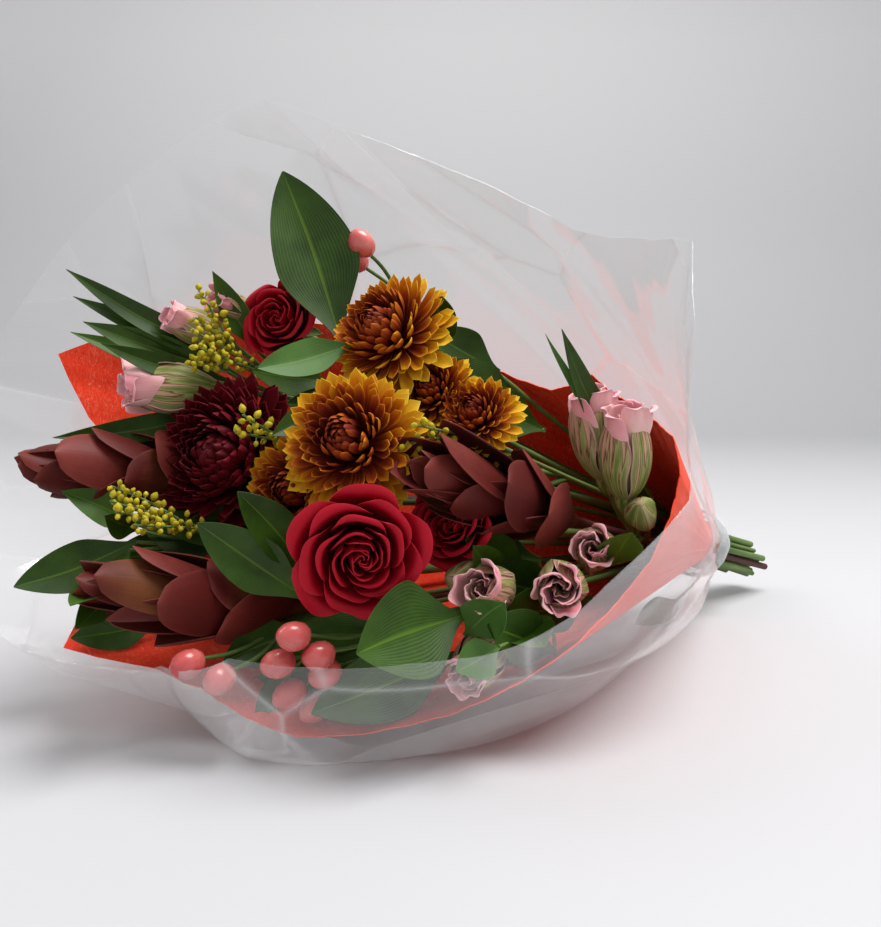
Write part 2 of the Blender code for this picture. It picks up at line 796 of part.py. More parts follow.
def goldenrod(stems, key, path, ends, seed):
    """Arched branchlets, each a string of small buds that sit to either side."""
    rng = random.Random(seed)
    for i, end in enumerate(ends):
        fork = back_along(path, FORK_STEP * (i % 4))
        side = (end - fork).orthogonal().normalized()

        def make(swing, grow):
            goal = end + side * swing * (end - fork).length
            middle = (fork + goal) / 2 + side * (goal - fork).length * 0.10
            count = int((goal - fork).length * 0.72 / BUD_STEP)
            points = [fork]
            radii = [0.0009 + grow]
            for k in range(2 * count + 1):
                t = 0.28 + 0.72 * k / (2 * count)
                place = fork * (1 - t) ** 2 + middle * 2 * t * (1 - t) + goal * t * t
                if k % 2:
                    place += around(goal - fork, math.pi / 2, 2.4 * k)[0] * 0.0010
                points.append(place)
                radii.append((BUD_RADIUS if k % 2 else 0.0008) + grow)
            return tube(points, radii, 3)

        swings = [{"swing": swing} for swing in (0.0, 0.15, -0.15, 0.3, -0.3, 0.45, -0.45)]
        add_piece(stems, key, first_clear(make, swings, key))


def back_along(path, distance):
    """Point on a path at a distance before its end."""
    for a, b in zip(reversed(path[:-1]), reversed(path)):
        step = (b - a).length
        if distance <= step:
            return b + (a - b) * (distance / step)
        distance -= step
    return path[0]


# ---- Layout, centimetres in the bouquet's frame ----

# Chrysanthemums by ring: lean, reach and width as shares of the radius, curl
MUM_FULL = ((22, 0.52, 0.15, 0.7), (43, 0.74, 0.24, 0.35), (65, 0.92, 0.31, 0.1), (88, 1.00, 0.34, -0.15))
MUM_YOUNG = ((26, 0.62, 0.22, 0.5), (54, 0.88, 0.36, 0.2), (82, 1.00, 0.42, -0.1))
MUM_DARK = ((22, 0.50, 0.13, 0.8), (42, 0.70, 0.20, 0.5), (62, 0.88, 0.26, 0.3), (82, 0.98, 0.30, 0.1))
# Leucadendron bracts by ring: lean, reach as a share of the length, width in metres, curl
BRACTS = ((12, 0.82, 0.020, 0.25), (27, 0.98, 0.026, 0.30), (46, 0.86, 0.027, 0.45))
# Berry: heights as shares of its length, radii as shares of its radius
BERRY = ((-0.5, 0.0), (-0.22, 0.92), (0.20, 0.94), (0.5, 0.0))

# Roses: middle of the face, way it looks, radius, number of layers
ROSES = {
    "front": ((3.2, -5.6, 33.4), (0.15, -0.15, 1.0), 4.1, 4, 3),
    "upper": ((-8.3, 6.1, 33.0), (-0.15, 0.25, 1.0), 2.7, 3, 2),
    "behind": ((3.2, -3.0, 27.5), (0.35, -0.10, 1.0), 2.4, 3, 2),
    "low": ((-7.4, -9.2, 33.2), (-0.15, -0.20, 1.0), 2.5, 3, 2),
}
# Chrysanthemums: middle, way it looks, radius, rings, spray
MUMS = {
    "front": ((1.1, -0.3, 33.5), (0.50, 0.05, 0.9), 3.1, 11, MUM_FULL, "a"),
    "upper": ((-1.5, 6.0, 31.0), (0.05, 0.20, 1.0), 3.1, 11, MUM_FULL, "a"),
    "left": ((-3.0, -3.5, 32.5), (0.10, -0.10, 1.0), 2.7, 8, MUM_YOUNG, "a"),
    "right": ((0.4, 3.6, 28.5), (0.30, 0.30, 1.0), 2.1, 8, MUM_YOUNG, "b"),
    "back": ((2.9, 2.7, 27.5), (0.25, 0.35, 0.9), 2.1, 8, MUM_YOUNG, "b"),
    "under": ((2.4, -0.4, 27.0), (0.30, -0.05, 1.0), 2.0, 8, MUM_YOUNG, "b"),
}
SPRAY_FORKS = {"a": (-0.8, 0.6, 22.0), "b": (1.4, 1.4, 19.0)}
DARK_MUM = ((-7.2, -2.1, 35.0), (0.20, 0.05, 1.0), 3.9)
# Leucadendrons: base of the head, way it looks, length
CONES = {
    "right": ((5.0, -1.3, 21.0), (-0.08, 0.04, 1.0), 8.6),
    "left": ((-9.8, -3.2, 33.5), (-0.25, -0.20, 1.0), 7.0),
    "low": ((-2.8, -8.7, 31.0), (-0.17, -0.08, 1.0), 8.8),
}
# Alstroemeria blooms: base, way it looks, length, stem
BLOOMS = {
    "left_a": ((-10.2, 1.4, 34.2), (-0.35, -0.30, 1.0), 4.6, "left"),
    "left_b": ((-10.8, 4.3, 34.2), (-0.10, 0.10, 1.0), 3.6, "left"),
    "left_c": ((-11.3, 6.0, 32.3), (0.10, 0.10, 1.0), 3.2, "left"),
    "right_a": ((6.2, 0.9, 19.8), (-0.02, 0.83, 0.55), 4.9, "right"),
    "right_b": ((7.6, 0.0, 19.8), (0.10, 0.87, 0.45), 4.7, "right"),
    "right_c": ((6.0, -4.5, 21.5), (0.60, -0.10, 0.80), 4.7, "right"),
    "right_d": ((6.0, -2.9, 19.0), (0.50, 0.10, 0.85), 4.2, "right"),
    "front_a": ((4.6, -5.8, 24.2), (0.45, 0.05, 0.90), 4.8, "front"),
    "front_b": ((5.7, -7.8, 25.0), (0.30, -0.50, 0.80), 4.2, "front"),
}
BUDS = {
    "right": ((8.2, -0.8, 18.8), (0.40, 0.40, 0.85), 2.5, "right"),
    "front": ((4.5, -5.3, 25.6), (0.05, -0.10, 1.0), 2.8, "front"),
}
# Leafy stems: end of the stem, radii of the stem in millimetres
LEAFY = {
    "alstroemeria_left": ((-9.6, 2.2, 31.0), 2.3, 1.8),
    "alstroemeria_right": ((6.0, -1.6, 16.5), 2.3, 1.9),
    "alstroemeria_front": ((4.4, -5.8, 22.0), 2.3, 1.9),
    "ruscus_top": ((-3.6, 4.2, 29.0), 2.0, 1.4),
    "ruscus_left": ((-8.6, -7.0, 36.5), 1.9, 1.3),
    "ruscus_low": ((0.2, -8.2, 30.5), 2.0, 1.4),
}
# Leaves by stem: root, tip, width, and options
LEAVES = {
    "alstroemeria_left": (
        ((-10.6, 3.3, 33.4), (-13.0, 5.4, 42.8), 1.3),
        ((-10.5, 2.8, 33.6), (-13.3, 4.2, 42.0), 1.2),
        ((-10.3, 2.6, 33.8), (-13.2, 3.1, 41.2), 1.6),
        ((-10.6, 2.2, 33.0), (-15.0, 2.6, 41.0), 1.4),
        ((-9.8, 2.0, 33.4), (-10.8, 2.0, 41.0), 1.3),
        ((-9.9, 0.4, 33.6), (-12.4, -3.2, 41.5), 1.4),
        ((-11.2, 0.2, 33.0), (-14.0, -4.4, 42.0), 1.2),
        ((-10.0, 4.2, 32.6), (-10.4, 7.6, 36.2), 1.5),
    ),
    "alstroemeria_right": (
        ((7.4, 0.8, 17.2), (7.0, 7.2, 27.0), 1.4),
        ((6.6, 1.8, 19.5), (6.4, 6.8, 27.4), 0.5),
        ((8.0, -3.2, 20.5), (10.3, -1.5, 22.6), 2.2),
    ),
    "alstroemeria_front": (
        ((6.0, -7.6, 28.4), (5.6, -10.2, 33.0), 3.8),
        ((5.6, -8.0, 27.4), (8.8, -5.9, 28.7), 2.1),
        ((4.4, -5.4, 24.6), (5.8, -3.8, 28.4), 1.7),
        ((7.6, -8.0, 27.0), (8.0, -9.3, 30.0), 1.8),
        ((6.2, -6.9, 24.6), (9.2, -7.6, 25.8), 2.3),
        ((4.8, -9.0, 26.6), (2.2, -12.9, 32.6), 3.3),
    ),
    "ruscus_top": (
        ((-5.3, 5.2, 30.4), (-8.6, 13.4, 34.6), 4.5),
        ((-2.4, 5.0, 31.6), (-3.8, 2.3, 36.0), 1.9),
        ((-1.6, 3.4, 30.8), (-2.4, -0.8, 35.2), 1.8),
        ((-1.6, 5.9, 27.2), (0.8, 8.2, 29.4), 2.2),
    ),
    "ruscus_left": (
        ((-8.9, -6.6, 37.2), (-10.4, -5.7, 41.2), 1.7),
        ((-9.1, -7.4, 37.2), (-11.1, -10.8, 42.0), 2.4),
        ((-8.5, -7.8, 37.8), (-3.0, -10.2, 42.6), 2.0),
        ((-8.6, -8.2, 36.8), (-5.0, -11.5, 41.2), 1.9),
        ((-8.2, -6.8, 37.8), (-7.2, -6.3, 40.2), 1.4),
        ((-7.6, -11.2, 35.6), (-8.7, -12.6, 39.6), 1.8),
    ),
    "ruscus_low": (
        ((0.2, -8.1, 32.6), (-2.4, -5.6, 38.0), 2.5),
        ((-0.3, -7.0, 32.4), (-1.0, -3.8, 37.2), 2.1),
        ((-1.4, -9.6, 31.2), (-2.2, -11.8, 35.0), 2.2),
        ((-1.2, -11.6, 31.6), (-1.2, -14.2, 33.2), 1.2),
    ),
}
# Goldenrod: fork of the spray, then the ends of its branchlets
GOLDENROD = {
    "left": ((-9.6, 3.2, 33.6), ((-9.0, 6.0, 37.4), (-9.0, 4.6, 37.2), (-8.2, 3.8, 37.6), (-7.3, 2.9, 37.8),
                                 (-8.3, 2.2, 37.2))),
    "low": ((-6.6, -6.2, 35.6), ((-8.2, -4.9, 39.8), (-7.2, -5.6, 40.1), (-6.1, -6.0, 40.2),
                                 (-5.0, -6.4, 39.7))),
    "middle": ((-4.4, -0.7, 32.5), ((-2.6, -0.2, 36.9), (-3.4, -1.0, 36.6))),
    "right": ((3.4, 1.6, 27.5), ((3.7, 0.1, 31.9), (4.1, 1.0, 31.9))),
}
# Hypericum: fork, then its berries
HYPERICUM = {
    "low": ((1.6, -8.6, 28.5), ((2.2, -9.5, 34.6), (2.5, -10.2, 33.2), (1.0, -11.0, 34.2),
                                (2.0, -11.1, 32.2), (1.9, -12.2, 31.0), (0.8, -12.4, 33.0),
                                (1.1, -13.3, 31.6))),
    "left": ((-2.2, -10.4, 33.0), ((-1.6, -11.9, 37.2), (-0.6, -12.3, 36.0))),
    "top": ((-4.6, 9.2, 28.2), ((-4.5, 10.7, 31.2), (-6.0, 10.2, 30.4))),
}
BERRY_RADIUS = 0.0068
BERRY_LENGTH = 0.0180
BUD_RADIUS = 0.0024
BUD_STEP = 0.0055
CUTS = (0.088, 0.074, 0.082, 0.066, 0.079, 0.071, 0.085)


def unit(way):
    return Vector(way).normalized()


def flower_base(centre, facing, depth):
    return cm(centre) - unit(facing) * depth


def calyx(base, facing, radius):
    """Green cup on the end of a stem, just under the flower."""
    shape = [(-2.0 * radius, 0.0), (-1.3 * radius, 0.72 * radius), (-0.35 * radius, radius), (-0.0005, 0.0)]
    return turned(base, facing, shape, 7)


def stem_plan():
    """Every stem that reaches the tie: name, where it ends, the way it looks there, and its radii."""
    plan = {}
    for name, (centre, facing, radius, *_) in ROSES.items():
        base = flower_base(centre, facing, radius / 100 * 0.9 + 0.008)
        plan["rose_stem_" + name] = (base, unit(facing), 0.0024, 0.0024)
    for name, fork in SPRAY_FORKS.items():
        plan["mum_spray_" + name] = (cm(fork), unit(fork), 0.0023, 0.0020)
    centre, facing, radius = DARK_MUM
    base = flower_base(centre, facing, radius / 100 * 0.69 + 0.006)
    plan["burgundy_mum_stem"] = (base, unit(facing), 0.0024, 0.0023)
    for name, (base, facing, _) in CONES.items():
        plan["leucadendron_" + name] = (cm(base) - unit(facing) * 0.004, unit(facing), 0.0024, 0.0030)
    for name, (end, low, high) in LEAFY.items():
        plan[name + "_stem"] = (cm(end), unit(end), low / 1000, high / 1000)
    for name, (fork, _) in GOLDENROD.items():
        plan["goldenrod_" + name] = (cm(fork), unit(fork), 0.0016, 0.0012)
    for name, (fork, _) in HYPERICUM.items():
        plan["hypericum_" + name] = (cm(fork), unit(fork), 0.0018, 0.0014)
    return plan


def grow_stems():
    """Rods from the cut ends through the tie to the flowers, each clear of the others."""
    plan = stem_plan()
    slots = share_slots({name: tuple(values[0] * 100) for name, values in plan.items()})
    stems = {}
    paths = {}
    for i, (name, (base, facing, thick, thin)) in enumerate(plan.items()):
        cut = CUTS[i % len(CUTS)]

        def make(bend, sway, grow):
            return rod(stem_path(slots[name], base, facing, cut, bend, sway), thick, thin, 5, grow)

        tries = [{"bend": bend, "sway": sway} for sway in (0.0, 0.05, -0.05, 0.1, -0.1)
                 for bend in (0.22, 0.12, 0.32, 0.04, 0.42)]
        clear = next(values for values in tries if is_clear(make(grow=GAP, **values), name))
        stems[name] = [make(grow=0.0, **clear)]
        paths[name] = stem_path(slots[name], base, facing, cut, **clear)
        reserve(name, stems[name][0])
    return stems, paths


def add_piece(stems, name, solid):
    if solid is not None:
        stems[name].append(solid)
        reserve(name, solid)


def main():
    start_empty()
    frame = bouquet_frame()
    wrap_mat = material("wrap_film", WRAP_CLEAR, 0.08, alpha=0.25)
    sheet_node("clear_wrap", wrap_point, WRAP_COLUMNS, WRAP_ROWS, 0.0, SHEET, wrap_mat, frame)
    liner_mat = material("liner_red", LINER_RED, 0.85)
    sheet_node("red_liner", liner_point, LINER_COLUMNS, LINER_ROWS, 0.5, 3 * SHEET, liner_mat, frame)
    tie_band(material("tie_clear", WRAP_CLEAR, 0.2, alpha=0.4), frame)
    stems, paths = grow_stems()
    hold_room_for_blooms()
    add_cups(stems, paths)
    add_leaves(stems, paths)
    add_blooms(stems, frame)
    add_sprays(stems, paths)
    join_stems(stems, frame)
    settle_origin(frame)


def add_cups(stems, paths):
    """What carries the flowers at the ends of their stems."""
    for name, (centre, facing, radius, *_) in ROSES.items():
        rose_calyx(stems, "rose_stem_" + name, flower_base(centre, facing, radius / 100 * 0.9), unit(facing))
    for i, (name, (centre, facing, radius, _, _, spray)) in enumerate(MUMS.items()):
        base = flower_base(centre, facing, radius / 100 * 0.69)
        key = "mum_spray_" + spray
        add_piece(stems, key, calyx(base, unit(facing), 0.0045))
        stalk_to(stems, key, paths[key], base - unit(facing) * 0.006, 0.0017, [i % 3 + n for n in range(8)])
    centre, facing, radius = DARK_MUM
    add_piece(stems, "burgundy_mum_stem", calyx(flower_base(centre, facing, radius / 100 * 0.69),
                                               unit(facing), 0.0055))
    for i, (name, (base, facing, length, stem)) in enumerate(BLOOMS.items()):
        key = f"alstroemeria_{stem}_stem"
        green_cup(stems, key, cm(base), unit(facing), length / 100)
        forks = [i % 4 + n for n in range(8)]
        stalk_to(stems, key, paths[key], cm(base) - unit(facing) * 0.001, 0.0014, forks)
    for name, (base, facing, length, stem) in BUDS.items():
        key = f"alstroemeria_{stem}_stem"
        middle = cm(base) + unit(facing) * length / 200
        shape = [(h * length / 100, r * length / 100 * 0.36) for h, r in BERRY]
        add_piece(stems, key, turned(middle, unit(facing), shape, 6))
        stalk_to(stems, key, paths[key], cm(base) + unit(facing) * 0.004, 0.0013, range(4, 12))


def add_blooms(stems, frame):
    maroon = material("leucadendron_maroon", MAROON, 0.5)
    for i, (name, (base, facing, length)) in enumerate(CONES.items()):
        key = "leucadendron_" + name
        cone_head(key, cm(base), unit(facing), length / 100, maroon, frame, 50 + i, stems.pop(key))
    rose_mat = material("rose_petal", ROSE_RED, 0.5)
    for name, (centre, facing, radius, layers, steps) in ROSES.items():
        chosen = ROSE_LAYERS[:1] + ROSE_LAYERS[5 - layers:]
        rose("rose_bloom_" + name, cm(centre), unit(facing), radius / 100, chosen, steps, rose_mat, frame)
    centre, facing, radius = DARK_MUM
    mum("burgundy_mum_bloom", cm(centre), unit(facing), radius / 100, 11, MUM_DARK,
        material("mum_burgundy", BURGUNDY, 0.55), frame, 40)
    bronze = material("mum_bronze", BRONZE, 0.6)
    for i, (name, (centre, facing, radius, count, rings, _)) in enumerate(MUMS.items()):
        mum("mum_bloom_" + name, cm(centre), unit(facing), radius / 100, count, rings, bronze, frame, 20 + i)
    pink = material("alstroemeria_pink", PINK, 0.5)
    for i, (name, (base, facing, length, _)) in enumerate(BLOOMS.items()):
        pink_bloom("alstroemeria_bloom_" + name, cm(base), unit(facing), length / 100, pink, frame, 60 + i)


def hold_room_for_blooms():
    """Reserve the core of every flower head before the leaves find their places."""
    for name, (centre, facing, radius, *_) in ROSES.items():
        size = radius / 100
        hold("rose_bloom_" + name, flower_base(centre, facing, size * 0.9), facing,
             [(0.0, 0.0), (0.10 * size, 0.32 * size), (0.80 * size, 0.40 * size), (1.1 * size, 0.0)])
    heads = {"mum_bloom_" + name: values[:3] for name, values in MUMS.items()}
    heads["burgundy_mum_bloom"] = DARK_MUM
    for name, (centre, facing, radius) in heads.items():
        core = MUM_CORE * radius / 100
        hold(name, flower_base(centre, facing, 0.42 * radius / 100), facing,
             [(-0.86 * core, 0.0), (0.0, 1.05 * core), (0.8 * core, 0.8 * core), (1.6 * core, 0.0)])
    for name, (base, facing, length, _) in BLOOMS.items():
        hold("alstroemeria_bloom_" + name, cm(base), facing,
             [(0.0086, 0.0), (0.0115, 0.0042), (0.030, 0.0075), (0.036, 0.0)])


def hold(name, base, facing, profile):
    reserve(name, turned(base, unit(facing), profile, 6))


def add_leaves(stems, paths):
    for name, leaves in LEAVES.items():
        key = name + "_stem"
        for leaf in leaves:
            leaf_on_stem(stems, key, paths[key], *leaf)


def add_sprays(stems, paths):
    for name, (_, berries) in HYPERICUM.items():
        key = "hypericum_" + name
        berry_bunch(stems, key, paths[key], [cm(berry) for berry in berries])
    for i, (name, (_, ends)) in enumerate(GOLDENROD.items()):
        key = "goldenrod_" + name
        goldenrod(stems, key, paths[key], [cm(end) for end in ends], 90 + i)


def join_stems(stems, frame):
    green = material("stem_green", STEM_GREEN, 0.55)
    colours = {
        "ruscus": material("leaf_green", LEAF_GREEN, 0.45),
        "goldenrod": material("goldenrod_yellow", BUD_YELLOW, 0.6),
        "hypericum": material("hypericum_coral", CORAL, 0.35),
    }
    for name, solids in stems.items():
        fuse(name, solids, colours.get(name.split("_")[0], green), frame)


def settle_origin(frame):
    """Put the middle of the bouquet's box over the origin."""
    low = [1e9] * 3
    high = [-1e9] * 3
    for item in bpy.data.objects:
        if item.type != "MESH":
            continue
        for vert in item.data.vertices:
            point = frame.matrix_world @ vert.co
            for axis in range(3):
                low[axis] = min(low[axis], point[axis])
                high[axis] = max(high[axis], point[axis])
    shift = Matrix.Translation((-(low[0] + high[0]) / 2, -(low[1] + high[1]) / 2, 0.0))
    frame.matrix_world = shift @ frame.matrix_world


main()
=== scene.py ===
import json
import math
import random

import bpy
import numpy as np
from mathutils import Matrix, Vector

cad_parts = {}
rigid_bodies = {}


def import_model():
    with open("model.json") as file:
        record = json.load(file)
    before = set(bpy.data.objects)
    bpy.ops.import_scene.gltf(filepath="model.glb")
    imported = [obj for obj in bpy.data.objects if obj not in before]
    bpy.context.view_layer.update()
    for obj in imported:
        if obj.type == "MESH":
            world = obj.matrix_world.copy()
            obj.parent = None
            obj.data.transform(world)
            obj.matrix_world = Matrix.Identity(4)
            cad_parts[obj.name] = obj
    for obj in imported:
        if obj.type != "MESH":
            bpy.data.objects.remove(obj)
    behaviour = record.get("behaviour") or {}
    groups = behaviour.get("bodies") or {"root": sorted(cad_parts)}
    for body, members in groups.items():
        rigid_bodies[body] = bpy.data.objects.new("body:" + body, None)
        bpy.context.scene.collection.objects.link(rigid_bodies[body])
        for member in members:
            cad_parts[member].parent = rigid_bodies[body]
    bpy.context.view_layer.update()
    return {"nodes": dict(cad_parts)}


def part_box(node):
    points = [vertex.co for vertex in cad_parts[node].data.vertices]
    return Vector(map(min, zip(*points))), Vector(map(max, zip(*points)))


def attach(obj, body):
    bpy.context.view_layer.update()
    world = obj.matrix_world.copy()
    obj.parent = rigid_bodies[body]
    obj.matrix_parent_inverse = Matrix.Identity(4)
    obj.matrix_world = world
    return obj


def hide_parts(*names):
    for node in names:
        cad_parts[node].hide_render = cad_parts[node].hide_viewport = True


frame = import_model()
print("frame loaded with", len(frame["nodes"]), "nodes")

# The bunch has its own axes: u to the side, v up and back, w along it from the tie to the flowers
bunch = {"rise": 17.6, "collar": 0.010, "floorGap": 0.0009}
tieLow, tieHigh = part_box("tie_band")
tieMiddle = np.array((tieLow + tieHigh) / 2)
rise = math.radians(bunch["rise"])
axes = np.array(((1, 0, 0), (0, math.sin(rise), -math.cos(rise)), (0, math.cos(rise), math.sin(rise))))


def toRoom(points):
    return np.asarray(points, float) @ axes.T + tieMiddle


def unit(way):
    way = np.asarray(way, float)
    return way / np.linalg.norm(way)


def cm(place):
    return np.asarray(place, float) / 100


def sides(facing):
    # Two directions square to a flower's own axis
    spare = np.array((0.0, 0.0, 1.0)) if abs(facing[2]) < 0.9 else np.array((0.0, 1.0, 0.0))
    side = unit(np.cross(facing, spare))
    return side, np.cross(facing, side)


def around(facing, lean, azimuth):
    # Way of a petal that leans off the axis, and the way its upper side looks
    side, other = sides(facing)
    ring = side * math.cos(azimuth) + other * math.sin(azimuth)
    way = facing * math.cos(lean) + ring * math.sin(lean)
    return way, facing * math.sin(lean) - ring * math.cos(lean)


def camel(name, tail):
    words = name.split("_")
    return words[0] + "".join(word.capitalize() for word in words[1:]) + tail


# Meshes are gathered as arrays and become one object at the end

def newShape():
    return {"points": [], "faces": [], "uv": [], "data": [], "finish": [], "count": 0}


def addPart(shape, points, faces, uv, data, finish=0):
    count = len(points)
    shape["points"].append(points)
    shape["faces"] += [tuple(n + shape["count"] for n in face) for face in faces]
    shape["uv"].append(uv)
    shape["data"].append(data)
    shape["finish"] += [finish] * len(faces)
    shape["count"] += count


gridFaces = {}


def shellFaces(rows, cols):
    # Faces of a thin closed shell over a grid: upper side, under side and rim
    if (rows, cols) in gridFaces:
        return gridFaces[rows, cols]
    under = rows * cols
    faces = []
    for i in range(rows - 1):
        for j in range(cols - 1):
            a = i * cols + j
            quad = (a, a + 1, a + cols + 1, a + cols)
            faces.append(quad)
            faces.append(tuple(n + under for n in reversed(quad)))
    rim = list(range(cols - 1))
    rim += [i * cols + cols - 1 for i in range(rows - 1)]
    rim += [(rows - 1) * cols + j for j in range(cols - 1, 0, -1)]
    rim += [i * cols for i in range(rows - 1, 0, -1)]
    for a, b in zip(rim, rim[1:] + rim[:1]):
        faces.append((a, a + under, b + under, b))
    gridFaces[rows, cols] = faces
    return faces


def gridNormals(grid):
    alongRows = np.gradient(grid, axis=0)
    alongCols = np.gradient(grid, axis=1)
    normal = np.cross(alongCols, alongRows)
    length = np.linalg.norm(normal, axis=2, keepdims=True)
    return normal / np.maximum(length, 1e-12)


def addShell(shape, grid, thick, tint=0.5, order=0.5, finish=0):
    # Thin closed petal, leaf or bract over a grid of points; v runs along it and u across
    rows, cols = grid.shape[:2]
    normal = gridNormals(grid)
    v, u = np.meshgrid(np.linspace(0, 1, rows), np.linspace(0, 1, cols), indexing="ij")
    if np.ndim(thick) == 0:
        thin = thick * (1 - 0.55 * np.abs(2 * u - 1) ** 3) * (1 - 0.45 * v ** 4)
    else:
        thin = thick
    top = grid + normal * thin[..., None] / 2
    low = grid - normal * thin[..., None] / 2
    points = np.concatenate([top.reshape(-1, 3), low.reshape(-1, 3)])
    uv = np.stack([u.ravel(), v.ravel()], 1)
    data = np.zeros((len(points), 4))
    data[:, 0] = tint
    data[rows * cols:, 1] = 1.0
    data[:, 2] = order
    addPart(shape, points, shellFaces(rows, cols), np.concatenate([uv, uv]), data, finish)


def addTurned(shape, root, way, profile, count, tint=0.5, order=0.5, lobes=0, depth=0.0, finish=0):
    # Closed turned body: profile holds heights and radii between two end points on the axis
    way = unit(way)
    side, other = sides(way)
    turns = np.arange(count) * math.tau / count
    ring = np.cos(turns)[:, None] * side + np.sin(turns)[:, None] * other
    wave = 1 + depth * np.cos(turns * lobes) if lobes else np.ones(count)
    points = [root + way * profile[0][0]]
    uv = [(0.5, 0.0)]
    inner = profile[1:-1]
    for k, (height, radius) in enumerate(inner):
        points += list(root + way * height + ring * (radius * wave)[:, None])
        uv += [(n / count, (k + 1) / (len(inner) + 1)) for n in range(count)]
    points.append(root + way * profile[-1][0])
    uv.append((0.5, 1.0))
    last = len(points) - 1
    faces = []
    for n in range(count):
        m = (n + 1) % count
        faces.append((0, 1 + m, 1 + n))
        for k in range(len(inner) - 1):
            a = 1 + k * count
            faces.append((a + n, a + m, a + count + m, a + count + n))
        a = 1 + (len(inner) - 1) * count
        faces.append((a + n, a + m, last))
    data = np.zeros((len(points), 4))
    data[:, 0] = tint
    data[:, 2] = order
    addPart(shape, np.array(points), faces, np.array(uv), data, finish)


def meshOf(shape, name, room=True):
    points = np.concatenate(shape["points"])
    if room:
        points = toRoom(points)
    mesh = bpy.data.meshes.new(name)
    mesh.from_pydata(points.tolist(), [], shape["faces"])
    corners = np.zeros(len(mesh.loops), np.int32)
    mesh.loops.foreach_get("vertex_index", corners)
    layer = mesh.uv_layers.new(name="petalUv")
    layer.data.foreach_set("uv", np.concatenate(shape["uv"])[corners].ravel())
    if room:
        data = mesh.attributes.new("petalData", "FLOAT_COLOR", "POINT")
        data.data.foreach_set("color", np.concatenate(shape["data"]).ravel())
    mesh.polygons.foreach_set("material_index", np.array(shape["finish"], np.int32))
    mesh.shade_smooth()
    return mesh


def addObject(name, mesh):
    item = bpy.data.objects.new(name, mesh)
    bpy.context.scene.collection.objects.link(item)
    return item


def place(item, finishes, nodes, slot, sharp=50):
    # Last step of each piece: its finish, hiding the node that it stands for, and the root body it hangs from
    if item.data.materials:
        item.data.materials.clear()
    for finish in finishes:
        item.data.materials.append(finish)
    item.data.set_sharp_from_angle(angle=math.radians(sharp))
    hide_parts(*nodes)
    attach(item, "root")
    return item


def finishShape(shape, name, finishes, nodes, slot, sharp=50):
    return place(addObject(name, meshOf(shape, name)), finishes, nodes, slot, sharp)


# Outline of a blade: share of its width at the foot, where it is widest and how round its tip is

def outline(t, foot, peak, tip):
    rising = np.clip(t / peak, 0, 1)
    rising = foot + (1 - foot) * rising * rising * (3 - 2 * rising)
    falling = np.clip((t - peak) / (1 - peak), 0, 1)
    return rising * np.maximum(1 - falling ** 2, 0.0) ** tip


def bladeGrid(root, along, face, look, rng=None):
    # Curved petal or leaf: it may curl, cup, fold along its midrib, twist and ripple
    root, along, face = np.asarray(root, float), unit(along), np.asarray(face, float)
    across = np.cross(along, face)
    if np.linalg.norm(across) < 1e-6:
        across = sides(along)[0]
    across = unit(across)
    up = np.cross(across, along)
    rows, cols = look.get("rows", 14), look.get("cols", 7)
    t = np.linspace(0, 1, rows) ** 0.9
    angle = look.get("curl", 0) * t + look.get("tipCurl", 0) * t ** 3 + look.get("lift", 0) * (1 - t)
    step = np.diff(t, prepend=0) * look["length"]
    reach = np.cumsum(np.cos(angle) * step)
    high = np.cumsum(np.sin(angle) * step)
    middle = root + reach[:, None] * along + high[:, None] * up
    normal = np.cos(angle)[:, None] * up - np.sin(angle)[:, None] * along
    sway = look.get("sway", 0) * look["length"] * np.sin(math.pi * t * 0.9) ** 2
    middle = middle + sway[:, None] * across
    twist = look.get("twist", 0) * t
    side = np.cos(twist)[:, None] * across + np.sin(twist)[:, None] * normal
    normal = np.cos(twist)[:, None] * normal - np.sin(twist)[:, None] * across
    half = look["width"] / 2 * outline(t, look.get("foot", 0.2), look.get("peak", 0.5), look.get("tip", 0.8))
    half = np.maximum(half, look["width"] * 0.012)
    s = np.linspace(-1, 1, cols)
    grid = middle[:, None, :] + side[:, None, :] * (half[:, None] * s)[..., None]
    lift = look.get("cup", 0) * half[:, None] * s ** 2 + look.get("fold", 0) * half[:, None] * np.abs(s)
    wave = look.get("wave", 0)
    if wave:
        phase = rng.uniform(0, math.tau) if rng else 0.7
        turns = look.get("waves", 3)
        lift = lift + wave * half[:, None] * np.abs(s) ** 2 * np.sin(
            math.tau * turns * t[:, None] + phase + 2.1 * (s > 0))
    return grid + normal[:, None, :] * lift[..., None]


# Materials

def newFinish(name, roughness=0.5, **fixed):
    finish = bpy.data.materials.new(name)
    finish.use_nodes = True
    nodes = finish.node_tree.nodes
    shader = nodes["Principled BSDF"]
    shader.inputs["Roughness"].default_value = roughness
    for socket, value in fixed.items():
        shader.inputs[socket.replace("_", " ")].default_value = value
    return finish, nodes, finish.node_tree.links, shader


def addNode(nodes, kind, values=None, **settings):
    node = nodes.new(kind)
    for name, value in settings.items():
        setattr(node, name, value)
    for name, value in (values or {}).items():
        node.inputs[name].default_value = value
    return node


def addMaths(nodes, links, operation, first, second=None, clamp=False):
    node = nodes.new("ShaderNodeMath")
    node.operation = operation
    node.use_clamp = clamp
    for socket, value in zip(node.inputs, (first, second)):
        if value is None:
            continue
        if isinstance(value, (int, float)):
            socket.default_value = value
        else:
            links.new(value, socket)
    return node.outputs[0]


def addShare(nodes, links, value, part, share, middle=None, clamp=False):
    # A value plus a share of another one, which may first be centred on its middle
    if middle is not None:
        part = addMaths(nodes, links, "SUBTRACT", part, middle)
    return addMaths(nodes, links, "ADD", value, addMaths(nodes, links, "MULTIPLY", part, share), clamp)


